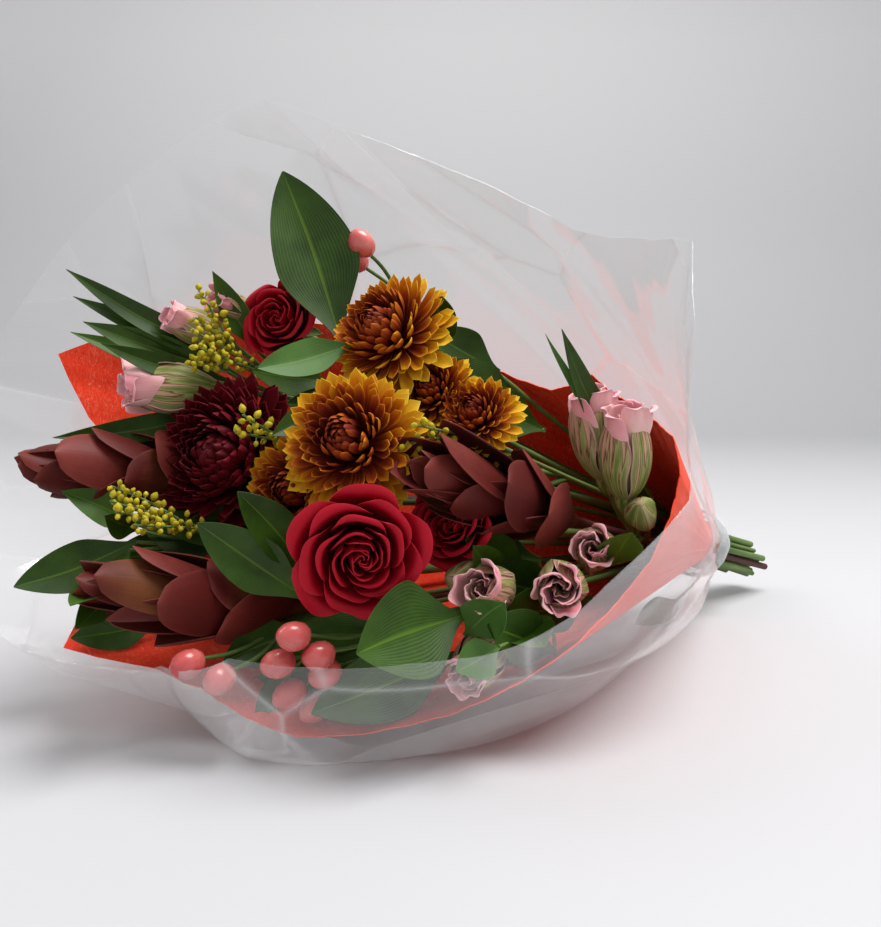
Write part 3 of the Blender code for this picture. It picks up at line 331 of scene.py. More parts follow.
def addRamp(nodes, links, factor, stops):
    node = nodes.new("ShaderNodeValToRGB")
    line = node.color_ramp
    while len(line.elements) < len(stops):
        line.elements.new(0.5)
    for element, (where, colour) in zip(line.elements, stops):
        element.position = where
        element.color = (*colour, 1)
    links.new(factor, node.inputs["Fac"])
    return node.outputs["Color"]


def addMix(nodes, links, factor, first, second, blend="MIX"):
    node = nodes.new("ShaderNodeMix")
    node.data_type = "RGBA"
    node.blend_type = blend
    node.clamp_factor = True
    sockets = [s for s in node.inputs if s.type == "RGBA"]
    amount = [s for s in node.inputs if s.type == "VALUE"][0]
    for socket, value in ((amount, factor), (sockets[0], first), (sockets[1], second)):
        if isinstance(value, (int, float)):
            socket.default_value = value
        elif isinstance(value, tuple):
            socket.default_value = (*value, 1)
        else:
            links.new(value, socket)
    return [s for s in node.outputs if s.type == "RGBA"][0]


def addNoise(nodes, links, vector, scale, detail=3, roughness=0.55, distortion=0.0):
    node = addNode(nodes, "ShaderNodeTexNoise", {"Scale": scale, "Detail": detail, "Roughness": roughness,
                                                 "Distortion": distortion})
    links.new(vector, node.inputs["Vector"])
    return node.outputs["Fac"]


def addStretch(nodes, links, vector, scale):
    node = addNode(nodes, "ShaderNodeMapping", {"Scale": scale})
    links.new(vector, node.inputs["Vector"])
    return node.outputs["Vector"]


def addBump(nodes, links, shader, height, strength, distance):
    bump = addNode(nodes, "ShaderNodeBump", {"Strength": strength, "Distance": distance})
    links.new(height, bump.inputs["Height"])
    links.new(bump.outputs["Normal"], shader.inputs["Normal"])


def petalSockets(nodes, links):
    # Across and along a petal, its tint, its under side and its place in the flower
    uv = addNode(nodes, "ShaderNodeUVMap", uv_map="petalUv")
    split = nodes.new("ShaderNodeSeparateXYZ")
    links.new(uv.outputs["UV"], split.inputs[0])
    data = addNode(nodes, "ShaderNodeAttribute", attribute_name="petalData")
    parts = nodes.new("ShaderNodeSeparateColor")
    links.new(data.outputs["Color"], parts.inputs[0])
    place = nodes.new("ShaderNodeTexCoord")
    return {"uv": uv.outputs["UV"], "u": split.outputs[0], "v": split.outputs[1],
            "tint": parts.outputs[0], "under": parts.outputs[1], "order": parts.outputs[2],
            "object": place.outputs["Object"]}


def petalFinish(name, stops, look):
    # Petal with fine veins along it, a darker foot, a paler rim and a soft sheen
    finish, nodes, links, shader = newFinish(name, look["roughness"], Specular_IOR_Level=look.get("shine", 0.22))
    shader.inputs["Sheen Weight"].default_value = look["sheen"]
    shader.inputs["Sheen Roughness"].default_value = 0.4
    shader.inputs["Sheen Tint"].default_value = (*look["sheenTint"], 1)
    at = petalSockets(nodes, links)
    veins = addNoise(nodes, links, addStretch(nodes, links, at["uv"], (look["veins"], look.get("run", 1.1), 1)), 3.0,
                     look.get("detail", 3))
    blotch = addNoise(nodes, links, at["object"], 90, 3)
    # Darker towards the foot and on the inner petals; on the rose this is painted shade in the heart of the bloom
    along = addMaths(nodes, links, "MULTIPLY", at["v"], look["alongShare"])
    value = addShare(nodes, links, along, at["order"], look["orderShare"])
    if "crossShare" in look:
        both = addMaths(nodes, links, "MULTIPLY", at["v"], at["order"])
        value = addShare(nodes, links, value, both, look["crossShare"])
    value = addShare(nodes, links, value, veins, look["veinShare"], 0.5)
    value = addShare(nodes, links, value, blotch, 0.25, 0.5)
    if "edgeShare" in look:
        off = addMaths(nodes, links, "ABSOLUTE", addMaths(nodes, links, "SUBTRACT", at["u"], 0.5))
        off = addMaths(nodes, links, "POWER", addMaths(nodes, links, "MULTIPLY", off, 2.0), 1.6)
        value = addShare(nodes, links, value, off, look["edgeShare"])
    value = addShare(nodes, links, value, at["tint"], look["tintShare"], 0.5)
    colour = addRamp(nodes, links, value, stops)
    if "underColour" in look:
        colour = addMix(nodes, links, addMaths(nodes, links, "MULTIPLY", at["under"], look["underShare"]),
                        colour, look["underColour"])
    if "rim" in look:
        edge = addMaths(nodes, links, "ABSOLUTE", addMaths(
            nodes, links, "SUBTRACT", addMaths(nodes, links, "MULTIPLY", at["u"], 2.0), 1.0))
        edge = addMaths(nodes, links, "MAXIMUM", edge, at["v"])
        edge = addMaths(nodes, links, "POWER", edge, look["rimPower"])
        edge = addMaths(nodes, links, "MULTIPLY", edge, look["rimShare"], clamp=True)
        colour = addMix(nodes, links, edge, colour, look["rim"])
    links.new(colour, shader.inputs["Base Color"])
    links.new(addShare(nodes, links, look["roughness"] - 0.12, blotch, 0.25), shader.inputs["Roughness"])
    addBump(nodes, links, shader, veins, look["bump"], 0.0006)
    return finish


def leafFinish(name, dark, mid, pale, look):
    # Leaf with parallel veins from foot to tip, a pale midrib and a duller under side
    finish, nodes, links, shader = newFinish(name, look["roughness"], Specular_IOR_Level=look.get("shine", 0.28))
    shader.inputs["Coat Weight"].default_value = look.get("coat", 0.03)
    shader.inputs["Coat Roughness"].default_value = 0.35
    at = petalSockets(nodes, links)
    bend = addMaths(nodes, links, "ABSOLUTE", addMaths(nodes, links, "SUBTRACT", at["u"], 0.5))
    vein = addNode(nodes, "ShaderNodeTexWave", {"Scale": look["veins"], "Distortion": 0.6, "Detail": 1.0})
    links.new(at["uv"], vein.inputs["Vector"])
    patch = addNoise(nodes, links, at["object"], 55, 4)
    value = addShare(nodes, links, addMaths(nodes, links, "MULTIPLY", patch, 0.50), vein.outputs["Fac"], 0.15)
    value = addShare(nodes, links, value, at["tint"], 0.42)
    colour = addRamp(nodes, links, value, ((0.25, dark), (0.62, mid), (0.98, pale)))
    rib = addMaths(nodes, links, "LESS_THAN", bend, 0.022)
    colour = addMix(nodes, links, addMaths(nodes, links, "MULTIPLY", rib, 0.35), colour, pale)
    colour = addMix(nodes, links, addMaths(nodes, links, "MULTIPLY", at["under"], 0.45), colour, look["under"])
    links.new(colour, shader.inputs["Base Color"])
    links.new(addShare(nodes, links, look["roughness"] - 0.1, patch, 0.22), shader.inputs["Roughness"])
    addBump(nodes, links, shader, vein.outputs["Fac"], 0.14, 0.0005)
    return finish


def plainFinish(name, stops, scale, roughness, bump=0.3, bumpScale=600, stretch=(1, 1, 1), **fixed):
    # Mottled finish on the piece's own coordinates, with a fine grain
    finish, nodes, links, shader = newFinish(name, roughness, **fixed)
    place = nodes.new("ShaderNodeTexCoord").outputs["Object"]
    spot = addStretch(nodes, links, place, stretch)
    patch = addNoise(nodes, links, spot, scale, 4)
    colour = addRamp(nodes, links, patch, stops)
    links.new(colour, shader.inputs["Base Color"])
    grain = addNoise(nodes, links, spot, bumpScale, 2)
    links.new(addShare(nodes, links, roughness - 0.1, patch, 0.2), shader.inputs["Roughness"])
    addBump(nodes, links, shader, grain, bump, 0.0004)
    return finish


# Rose petal: deep crimson with painted shade, near black at the foot and on the inner petals
rosePaintedShadeFinish = petalFinish("rose petal", ((0.0, (0.030, 0.0002, 0.002)), (0.38, (0.16, 0.0006, 0.006)),
                                        (0.75, (0.38, 0.0015, 0.012)), (1.0, (0.52, 0.006, 0.024))),
                         {"roughness": 0.55, "sheen": 0.02, "sheenTint": (1.0, 0.2, 0.25), "veins": 14,
                          "veinShare": 0.14, "tintShare": 0.16, "alongShare": 0.80, "orderShare": 0.16,
                          "bump": 0.15, "rim": (0.55, 0.03, 0.05), "rimPower": 40, "rimShare": 0.35, "shine": 0.16})
bronzeFinish = petalFinish("bronze ray", ((0.0, (0.028, 0.002, 0.004)), (0.24, (0.085, 0.006, 0.007)),
                                          (0.40, (0.22, 0.024, 0.008)), (0.55, (0.44, 0.085, 0.008)),
                                          (0.68, (0.68, 0.26, 0.009)), (0.82, (0.84, 0.46, 0.014)),
                                          (1.0, (0.90, 0.62, 0.04))),
                           {"roughness": 0.55, "sheen": 0.02, "sheenTint": (1.0, 0.7, 0.4), "veins": 6,
                            "veinShare": 0.22, "tintShare": 0.14, "alongShare": 0.24, "orderShare": 0.27,
                            "crossShare": 0.48, "edgeShare": 0.07, "bump": 0.25, "underColour": (0.66, 0.33, 0.012),
                            "underShare": 0.40, "shine": 0.15})
burgundyFinish = petalFinish("burgundy ray", ((0.0, (0.016, 0.0006, 0.002)), (0.5, (0.075, 0.002, 0.006)),
                                              (1.0, (0.20, 0.007, 0.015))),
                             {"roughness": 0.50, "sheen": 0.03, "sheenTint": (1.0, 0.3, 0.4), "veins": 6,
                              "veinShare": 0.22, "tintShare": 0.25, "alongShare": 0.55, "orderShare": 0.30,
                              "edgeShare": 0.12, "bump": 0.3, "underColour": (0.24, 0.016, 0.030),
                              "underShare": 0.35, "shine": 0.18})
bractFinish = petalFinish("leucadendron bract", ((0.0, (0.15, 0.048, 0.016)), (0.25, (0.075, 0.008, 0.007)),
                                                 (0.65, (0.100, 0.011, 0.008)), (1.0, (0.21, 0.036, 0.028))),
                          {"roughness": 0.46, "sheen": 0.04, "sheenTint": (0.9, 0.5, 0.5), "veins": 12,
                           "veinShare": 0.16, "tintShare": 0.75, "alongShare": 0.58, "orderShare": 0.06,
                           "bump": 0.14, "rim": (0.26, 0.06, 0.045), "rimPower": 20, "rimShare": 0.35,
                           "shine": 0.15})
pinkFinish = petalFinish("pink tepal", ((0.0, (0.66, 0.50, 0.28)), (0.22, (0.88, 0.56, 0.52)),
                                        (0.55, (0.88, 0.34, 0.38)), (1.0, (0.74, 0.16, 0.25))),
                         {"roughness": 0.5, "sheen": 0.04, "sheenTint": (1.0, 0.8, 0.85), "veins": 12,
                          "veinShare": 0.50, "tintShare": 0.28, "alongShare": 0.55, "orderShare": 0.10,
                          "bump": 0.2, "rim": (0.90, 0.62, 0.64), "rimPower": 7, "rimShare": 0.6,
                          "shine": 0.15})
cupFinish = petalFinish("striped outer tepal", ((0.0, (0.070, 0.12, 0.018)), (0.28, (0.16, 0.20, 0.04)),
                                                (0.42, (0.34, 0.33, 0.12)), (0.50, (0.13, 0.035, 0.022)),
                                                (0.58, (0.46, 0.30, 0.17)), (0.78, (0.66, 0.30, 0.28)),
                                                (1.0, (0.70, 0.36, 0.36))),
                        {"roughness": 0.5, "sheen": 0.03, "sheenTint": (1.0, 0.9, 0.8), "veins": 3.2,
                         "run": 0.35, "detail": 1, "veinShare": 1.4, "tintShare": 0.10, "alongShare": 0.30,
                         "orderShare": 0.42, "bump": 0.3, "rim": (0.74, 0.40, 0.38), "rimPower": 12,
                         "rimShare": 0.5, "shine": 0.2})
leafGreen = leafFinish("leaf green", (0.013, 0.036, 0.002), (0.052, 0.125, 0.007), (0.165, 0.29, 0.020),
                       {"roughness": 0.46, "veins": 8.0, "under": (0.040, 0.11, 0.018)})
leafPale = leafFinish("pale leaf", (0.045, 0.12, 0.018), (0.10, 0.22, 0.04), (0.21, 0.36, 0.09),
                      {"roughness": 0.5, "veins": 8.0, "under": (0.19, 0.32, 0.10), "coat": 0.02})
stemGreen = plainFinish("stem green", ((0.25, (0.055, 0.10, 0.022)), (0.55, (0.12, 0.20, 0.05)),
                                       (0.85, (0.24, 0.30, 0.11))), 70, 0.5, 0.35, 900, (1, 0.25, 1),
                        Specular_IOR_Level=0.25)
stemMaroon = plainFinish("stem maroon", ((0.25, (0.035, 0.010, 0.010)), (0.6, (0.09, 0.022, 0.020)),
                                         (0.9, (0.17, 0.07, 0.05))), 80, 0.55, 0.4, 900, (1, 0.25, 1),
                         Specular_IOR_Level=0.25)
budYellow = plainFinish("goldenrod bud", ((0.25, (0.20, 0.19, 0.012)), (0.5, (0.44, 0.35, 0.012)),
                                          (0.8, (0.70, 0.56, 0.03))), 240, 0.6, 0.5, 1500, Specular_IOR_Level=0.2)
berryCoral = plainFinish("hypericum berry", ((0.25, (0.52, 0.040, 0.048)), (0.55, (0.66, 0.12, 0.11)),
                                             (0.85, (0.80, 0.30, 0.25))), 60, 0.26, 0.12, 500,
                         Coat_Weight=0.35, Coat_Roughness=0.2)
antherFinish = plainFinish("anther", ((0.3, (0.14, 0.10, 0.03)), (0.8, (0.40, 0.26, 0.08))), 300, 0.7)
print("finishes made")


# One scatter tree lays rays and buds over points that carry their turn, size and kind

def addSocket(tree, name, kind, way="INPUT", default=None):
    socket = tree.interface.new_socket(name, in_out=way, socket_type=kind)
    if default is not None:
        socket.default_value = default
    return socket


def scatterTree():
    tree = bpy.data.node_groups.new("lay shapes on points", "GeometryNodeTree")
    addSocket(tree, "Points", "NodeSocketGeometry")
    addSocket(tree, "Shapes", "NodeSocketCollection")
    addSocket(tree, "Finish", "NodeSocketMaterial")
    addSocket(tree, "Size spread", "NodeSocketFloat", default=0.08)
    addSocket(tree, "Seed", "NodeSocketInt", default=1)
    addSocket(tree, "Flowers", "NodeSocketGeometry", "OUTPUT")
    nodes, links = tree.nodes, tree.links
    given = nodes.new("NodeGroupInput")
    made = nodes.new("NodeGroupOutput")
    shapes = addNode(nodes, "GeometryNodeCollectionInfo", {"Separate Children": True, "Reset Children": True})
    kind = addNode(nodes, "GeometryNodeInputNamedAttribute", {"Name": "kind"}, data_type="INT")
    turn = addNode(nodes, "GeometryNodeInputNamedAttribute", {"Name": "turn"}, data_type="FLOAT_VECTOR")
    size = addNode(nodes, "GeometryNodeInputNamedAttribute", {"Name": "size"}, data_type="FLOAT_VECTOR")
    angle = nodes.new("FunctionNodeEulerToRotation")
    spread = addNode(nodes, "FunctionNodeRandomValue", data_type="FLOAT")
    least = addNode(nodes, "ShaderNodeMath", operation="SUBTRACT")
    most = addNode(nodes, "ShaderNodeMath", operation="ADD")
    least.inputs[0].default_value = 1.0
    most.inputs[0].default_value = 1.0
    links.new(given.outputs["Size spread"], least.inputs[1])
    links.new(given.outputs["Size spread"], most.inputs[1])
    numbers = [s for s in spread.inputs if s.enabled and s.type == "VALUE"]
    links.new(least.outputs[0], numbers[0])
    links.new(most.outputs[0], numbers[1])
    links.new(given.outputs["Seed"], spread.inputs["Seed"])
    scaled = addNode(nodes, "ShaderNodeVectorMath", operation="SCALE")
    links.new(size.outputs["Attribute"], scaled.inputs[0])
    links.new([s for s in spread.outputs if s.enabled][0], scaled.inputs["Scale"])
    laid = addNode(nodes, "GeometryNodeInstanceOnPoints", {"Pick Instance": True})
    links.new(given.outputs["Points"], laid.inputs["Points"])
    links.new(given.outputs["Shapes"], shapes.inputs["Collection"])
    links.new(shapes.outputs[0], laid.inputs["Instance"])
    links.new(kind.outputs["Attribute"], laid.inputs["Instance Index"])
    links.new(turn.outputs["Attribute"], angle.inputs["Euler"])
    links.new(angle.outputs["Rotation"], laid.inputs["Rotation"])
    links.new(scaled.outputs[0], laid.inputs["Scale"])
    real = nodes.new("GeometryNodeRealizeInstances")
    dress = nodes.new("GeometryNodeSetMaterial")
    links.new(laid.outputs[0], real.inputs[0])
    links.new(real.outputs[0], dress.inputs["Geometry"])
    links.new(given.outputs["Finish"], dress.inputs["Material"])
    links.new(dress.outputs[0], made.inputs[0])
    return tree


def stemTree():
    tree = bpy.data.node_groups.new("stems along lines", "GeometryNodeTree")
    addSocket(tree, "Lines", "NodeSocketGeometry")
    addSocket(tree, "Sides", "NodeSocketInt", default=12)
    addSocket(tree, "Finish", "NodeSocketMaterial")
    addSocket(tree, "Stems", "NodeSocketGeometry", "OUTPUT")
    nodes, links = tree.nodes, tree.links
    given = nodes.new("NodeGroupInput")
    made = nodes.new("NodeGroupOutput")
    curve = nodes.new("GeometryNodeMeshToCurve")
    thick = addNode(nodes, "GeometryNodeInputNamedAttribute", {"Name": "thick"}, data_type="FLOAT")
    radius = nodes.new("GeometryNodeSetCurveRadius")
    ring = addNode(nodes, "GeometryNodeCurvePrimitiveCircle", {"Radius": 1.0})
    solid = addNode(nodes, "GeometryNodeCurveToMesh", {"Fill Caps": True})
    dress = nodes.new("GeometryNodeSetMaterial")
    real = nodes.new("GeometryNodeRealizeInstances")
    links.new(given.outputs["Lines"], curve.inputs[0])
    links.new(curve.outputs[0], radius.inputs["Curve"])
    links.new(thick.outputs["Attribute"], radius.inputs["Radius"])
    links.new(given.outputs["Sides"], ring.inputs["Resolution"])
    links.new(radius.outputs[0], solid.inputs["Curve"])
    links.new(ring.outputs["Curve"], solid.inputs["Profile Curve"])
    if "Scale" in solid.inputs:
        links.new(thick.outputs["Attribute"], solid.inputs["Scale"])
    links.new(solid.outputs[0], real.inputs[0])
    links.new(real.outputs[0], dress.inputs["Geometry"])
    links.new(given.outputs["Finish"], dress.inputs["Material"])
    links.new(dress.outputs[0], made.inputs[0])
    return tree


def runTree(name, mesh, tree, values):
    # Dress a mesh of points or lines with a tree and turn the result into a plain mesh
    item = addObject(name, mesh)
    grow = item.modifiers.new("grow", "NODES")
    grow.node_group = tree
    for socket in tree.interface.items_tree:
        if socket.item_type == "SOCKET" and socket.in_out == "INPUT" and socket.name in values:
            grow[socket.identifier] = values[socket.name]
    graph = bpy.context.evaluated_depsgraph_get()
    made = bpy.data.meshes.new_from_object(item.evaluated_get(graph))
    item.modifiers.remove(grow)
    item.data = made
    for extra in ("turn", "size", "kind", "thick"):
        if extra in made.attributes:
            made.attributes.remove(made.attributes[extra])
    made.shade_smooth()
    return item


def shapeKinds(name, shapes):
    # Collection with one object for each kind of ray or bud
    group = bpy.data.collections.new(name)
    bpy.context.scene.collection.children.link(group)
    for i, shape in enumerate(shapes):
        item = bpy.data.objects.new(f"{name}{i}", meshOf(shape, f"{name}{i}", room=False))
        group.objects.link(item)
    return group


def dropKinds(group):
    for item in list(group.objects):
        bpy.data.objects.remove(item, do_unlink=True)
    bpy.data.collections.remove(group)


def pointMesh(name, points, turns, sizes, kinds, data):
    mesh = bpy.data.meshes.new(name)
    mesh.from_pydata(toRoom(points).tolist(), [], [])
    layers = (("turn", "FLOAT_VECTOR", "vector", turns), ("size", "FLOAT_VECTOR", "vector", sizes),
              ("kind", "INT", "value", kinds), ("petalData", "FLOAT_COLOR", "color", data))
    for label, kind, key, values in layers:
        layer = mesh.attributes.new(label, kind, "POINT")
        layer.data.foreach_set(key, np.asarray(values).ravel())
    return mesh


def turnOf(across, along, up):
    # Angles that lay a shape made along y, with its upper side on z, on these directions of the bunch
    room = axes @ np.stack([across, along, up], 1)
    return tuple(Matrix(room.tolist()).to_euler())


scatter = scatterTree()
lines = stemTree()


# Chrysanthemums: rays by the golden angle, the inner ones closing over the heart

mumLook = {"kinds": 6, "golden": math.radians(137.508), "jitter": 0.07, "sink": 0.42, "core": 0.24, "seat": 0.69,
           "innerLean": 4, "rayWide": 0.26, "rayThick": 0.022, "spread": 0.05}
# Each: middle in cm, the way it looks, radius in cm, rays and seed
mums = {
    "front": ((1.1, -0.3, 33.5), (0.50, 0.05, 0.9), 3.2, 230, 7),
    "upper": ((-1.5, 6.0, 31.0), (0.10, 0.22, 1.0), 3.1, 230, 8),
    "left": ((-2.2, -3.2, 33.4), (0.45, -0.10, 0.95), 2.8, 200, 9),
    "right": ((0.4, 3.6, 28.5), (0.30, 0.30, 1.0), 2.1, 180, 10),
    "back": ((2.9, 2.7, 27.5), (0.25, 0.35, 0.9), 2.1, 180, 11),
    "under": ((2.4, -0.4, 27.0), (0.30, -0.05, 1.0), 2.0, 180, 12),
}
darkMum = ((-7.2, -2.1, 35.0), (0.40, 0.08, 0.9), 3.9, 330, 13)


def rayShapes(curls, rows=8, cols=5):
    made = []
    for curl, tipCurl, cup in curls:
        shape = newShape()
        grid = bladeGrid((0, 0, 0), (0, 1, 0), (0, 0, 1), {
            "length": 1.0, "width": mumLook["rayWide"], "foot": 0.42, "peak": 0.80, "tip": 0.40, "curl": curl,
            "tipCurl": tipCurl, "cup": cup, "rows": rows, "cols": cols})
        addShell(shape, grid, mumLook["rayThick"])
        made.append(shape)
    return made


bronzeKinds = shapeKinds("bronzeRay", rayShapes((
    (1.5, 0.3, 0.60), (1.05, 0.3, 0.50), (0.65, 0.3, 0.42), (0.30, 0.35, 0.36), (0.0, 0.40, 0.30),
    (-0.25, 0.35, 0.28)), 9, 6))
burgundyKinds = shapeKinds("burgundyRay", rayShapes((
    (1.8, 0.4, 0.8), (1.4, 0.4, 0.7), (1.0, 0.4, 0.6), (0.70, 0.45, 0.55), (0.40, 0.5, 0.5), (0.1, 0.45, 0.45)), 8, 6))


def mumHead(name, flower, kinds, finish, node, slot, widest):
    centre, facing, radius, count, seed = flower
    rng = random.Random(seed)
    facing, radius = unit(facing), radius / 100
    middle = cm(centre) - facing * radius * mumLook["sink"]
    inner = mumLook["innerLean"]
    points, turns, sizes, picks, data = [], [], [], [], []
    for i in range(count):
        share = (i + 0.5) / count
        lean = math.radians(inner + (widest - inner) * share ** 0.68) + rng.uniform(-1, 1) * mumLook["jitter"]
        azimuth = i * mumLook["golden"] + rng.uniform(-1, 1) * mumLook["jitter"]
        way, upper = around(facing, lean, azimuth)
        length = radius * (0.52 + 0.50 * share ** 0.75) * rng.uniform(0.95, 1.05)
        points.append(middle + way * radius * mumLook["core"] * 0.85)
        turns.append(turnOf(np.cross(way, upper), way, upper))
        width = radius * (0.42 + 0.52 * share)
        sizes.append((width, length, length))
        pick = 0
        if share > 0.1:
            pick = min(mumLook["kinds"] - 1, int(share * mumLook["kinds"] + rng.uniform(-0.3, 0.3)))
        picks.append(pick)
        data.append((rng.random(), 0.0, share, 0.0))
    mesh = pointMesh(name, points, turns, sizes, picks, data)
    item = runTree(name, mesh, scatter, {"Shapes": kinds, "Finish": finish, "Size spread": mumLook["spread"],
                                         "Seed": seed})
    return place(item, [finish], [node], slot)


for name, flower in mums.items():
    mumHead("bronzeMum" + name.capitalize(), flower, bronzeKinds, bronzeFinish, "mum_bloom_" + name,
            "bronze_petal", 98)
mumHead("burgundyMum", darkMum, burgundyKinds, burgundyFinish, "burgundy_mum_bloom", "burgundy_petal", 92)
dropKinds(bronzeKinds)
dropKinds(burgundyKinds)
print("chrysanthemums made")


# Roses: a rolled heart, then layers of petals that overlap like tiles and roll out at the rim

roseLook = {"thick": 0.0008, "rows": 18, "cols": 17, "seat": 0.9, "sepals": 5, "sepalLean": 86,
            "sepalThick": 0.0007, "seed": 21}
# Each layer: petals, half angle, height, radius at the foot, the belly and the rim, roll and overlap
roseLayers = (
    (2, 118, 1.00, 0.03, 0.070, 0.045, 0.00, 0.04),
    (3, 84, 1.02, 0.06, 0.125, 0.095, 0.01, 0.05),
    (3, 76, 1.03, 0.10, 0.185, 0.155, 0.02, 0.06),
    (4, 62, 1.03, 0.13, 0.26, 0.24, 0.03, 0.06),
    (4, 60, 1.02, 0.16, 0.37, 0.38, 0.05, 0.07),
    (5, 54, 0.98, 0.19, 0.50, 0.57, 0.08, 0.08),
    (5, 52, 0.88, 0.21, 0.64, 0.78, 0.11, 0.09),
    (5, 48, 0.73, 0.22, 0.74, 0.95, 0.13, 0.09),
)
# Each: middle in cm, the way it looks, radius in cm and how many layers
roses = {
    "front": ((3.6, -5.4, 33.0), (0.84, -0.26, 0.46), 3.3, 8),
    "upper": ((-8.4, 6.0, 32.6), (0.44, 0.00, 0.90), 2.45, 7),
    "behind": ((3.2, -3.0, 27.5), (0.35, -0.10, 1.0), 2.4, 7),
    "low": ((-7.2, -8.8, 33.4), (0.10, -0.16, 1.0), 2.3, 7),
}


def rosePetal(root, facing, radius, layer, turn, rng, ruffle=0.0):
    _, halfAngle, high, foot, belly, rimAt, roll, overlap = layer
    side, other = sides(facing)
    rows, cols = roseLook["rows"], roseLook["cols"]
    t, s = np.meshgrid(np.linspace(0, 1, rows), np.linspace(-1, 1, cols), indexing="ij")
    top = 1 - 0.10 * s ** 2 - 0.20 * s ** 4 + rng.uniform(-0.03, 0.03) + 0.015 * np.sin(3 * s + rng.uniform(0, 6))
    q = t * top
    out = np.interp(q, (0, 0.12, 0.30, 0.55, 0.80, 1.0),
                    (foot * 0.6, foot, foot + 0.55 * (belly - foot), belly, belly + 0.55 * (rimAt - belly), rimAt))
    flip = np.clip((q - 0.78) / 0.22, 0, 1) ** 2
    out = out + roll * flip * (0.6 + 0.4 * s ** 2) + overlap * s * (0.25 + 0.75 * q)
    out = out + 0.012 * np.sin(5 * s + rng.uniform(0, 6)) * q
    out = out + ruffle * np.sin(rng.uniform(5, 8) * s + rng.uniform(0, 6)) * q ** 3
    height = high * np.sin(q * math.pi / 2) ** 0.9 - roll * 0.55 * flip
    width = np.interp(t, (0, 0.25, 0.6, 1.0), (0.42, 0.80, 1.0, 0.80))
    angle = turn + math.radians(halfAngle) * width * s
    ring = np.cos(angle)[..., None] * side + np.sin(angle)[..., None] * other
    return root + facing * (height * radius + 0.08 * radius)[..., None] + ring * (out * radius)[..., None]


def roseBloom(name, flower, seed):
    centre, facing, radius, count = flower
    rng = random.Random(seed)
    facing, radius = unit(facing), radius / 100
    root = cm(centre) - facing * radius * roseLook["seat"]
    shape = newShape()
    layers = roseLayers if count == 8 else roseLayers[:-1]
    grow = 1.0 if count == 8 else 1.12
    for i, layer in enumerate(layers):
        for k in range(layer[0]):
            turn = math.tau * (k + 0.37 * i) / layer[0] + rng.uniform(-0.12, 0.12)
            grid = rosePetal(root, facing, radius * (grow if i > 2 else 1.0), layer, turn, rng)
            addShell(shape, grid[:, ::-1], roseLook["thick"], rng.random(), i / 7)
    return finishShape(shape, name, [rosePaintedShadeFinish], ["rose_bloom_" + name[4:].lower()], "red_petal")


for i, (name, flower) in enumerate(roses.items()):
    roseBloom("rose" + name.capitalize(), flower, roseLook["seed"] + i)
print("roses made")


# Leucadendrons: broad smooth bracts up a short cone, the inner ones shut

coneLook = {"bracts": 18, "thick": 0.0014, "width": 0.0350, "seed": 50}
# Each: foot in cm, the way it looks and its length in cm
cones = {
    "right": ((5.0, -1.3, 21.0), (-0.08, 0.04, 1.0), 9.0),
    "left": ((-9.8, -3.2, 33.5), (-0.25, -0.18, 1.0), 7.3),
    "low": ((-2.8, -8.7, 31.0), (-0.17, -0.08, 1.0), 8.8),
}


def coneHead(base, facing, length, seed):
    rng = random.Random(seed)
    facing, length = unit(facing), length / 100
    shape = newShape()
    for i in range(coneLook["bracts"]):
        share = i / (coneLook["bracts"] - 1)
        lean = math.radians(6 + 34 * share ** 1.1) + rng.uniform(-0.06, 0.06)
        way, upper = around(facing, lean, i * mumLook["golden"] + seed + rng.uniform(-0.15, 0.15))
        root = cm(base) + facing * (0.042 - 0.044 * share) + (way - facing * way.dot(facing)) * 0.003
        reach = length * (0.62 + 0.30 * math.sin(math.pi * min(1, share + 0.12))) * rng.uniform(0.92, 1.06)
        grid = bladeGrid(root, way, upper, {
            "length": reach, "width": coneLook["width"] * (0.66 + 0.36 * share) * rng.uniform(0.9, 1.08),
            "foot": 0.42, "peak": 0.56, "tip": 0.52, "curl": 0.24 + 0.18 * share, "tipCurl": -0.10,
            "cup": 0.30, "fold": 0.04, "wave": 0.05, "waves": 0.8, "rows": 18, "cols": 9}, rng)
        addShell(shape, grid, coneLook["thick"], rng.random(), share)
    addTurned(shape, cm(base), facing, ((-0.006, 0), (-0.004, 0.0042), (0.004, 0.0062), (0.02, 0.0060),
                                        (0.038, 0.0034), (0.044, 0)), 16, 0.4, 0.2)
    return shape


coneShapes = {}
for i, (name, (base, facing, length)) in enumerate(cones.items()):
    coneShapes[name] = coneHead(base, facing, length, coneLook["seed"] + i)
print("leucadendrons made")


# Alstroemerias: ruffled pink tepals in a striped green cup, with stamens

bloomLook = {"thick": 0.0006, "stamens": 6, "cupTepals": 3, "cupThick": 0.0009, "cupLean": 39, "cupCurl": 1.42,
             "seed": 60}
# Layers of pink tepals, in the same order as those of a rose
bloomLayers = (
    (2, 100, 0.76, 0.03, 0.085, 0.06, 0.01, 0.04),
    (3, 66, 0.84, 0.05, 0.14, 0.12, 0.03, 0.05),
    (3, 58, 0.88, 0.07, 0.19, 0.18, 0.04, 0.06),
    (3, 50, 0.84, 0.09, 0.23, 0.23, 0.06, 0.07),
)
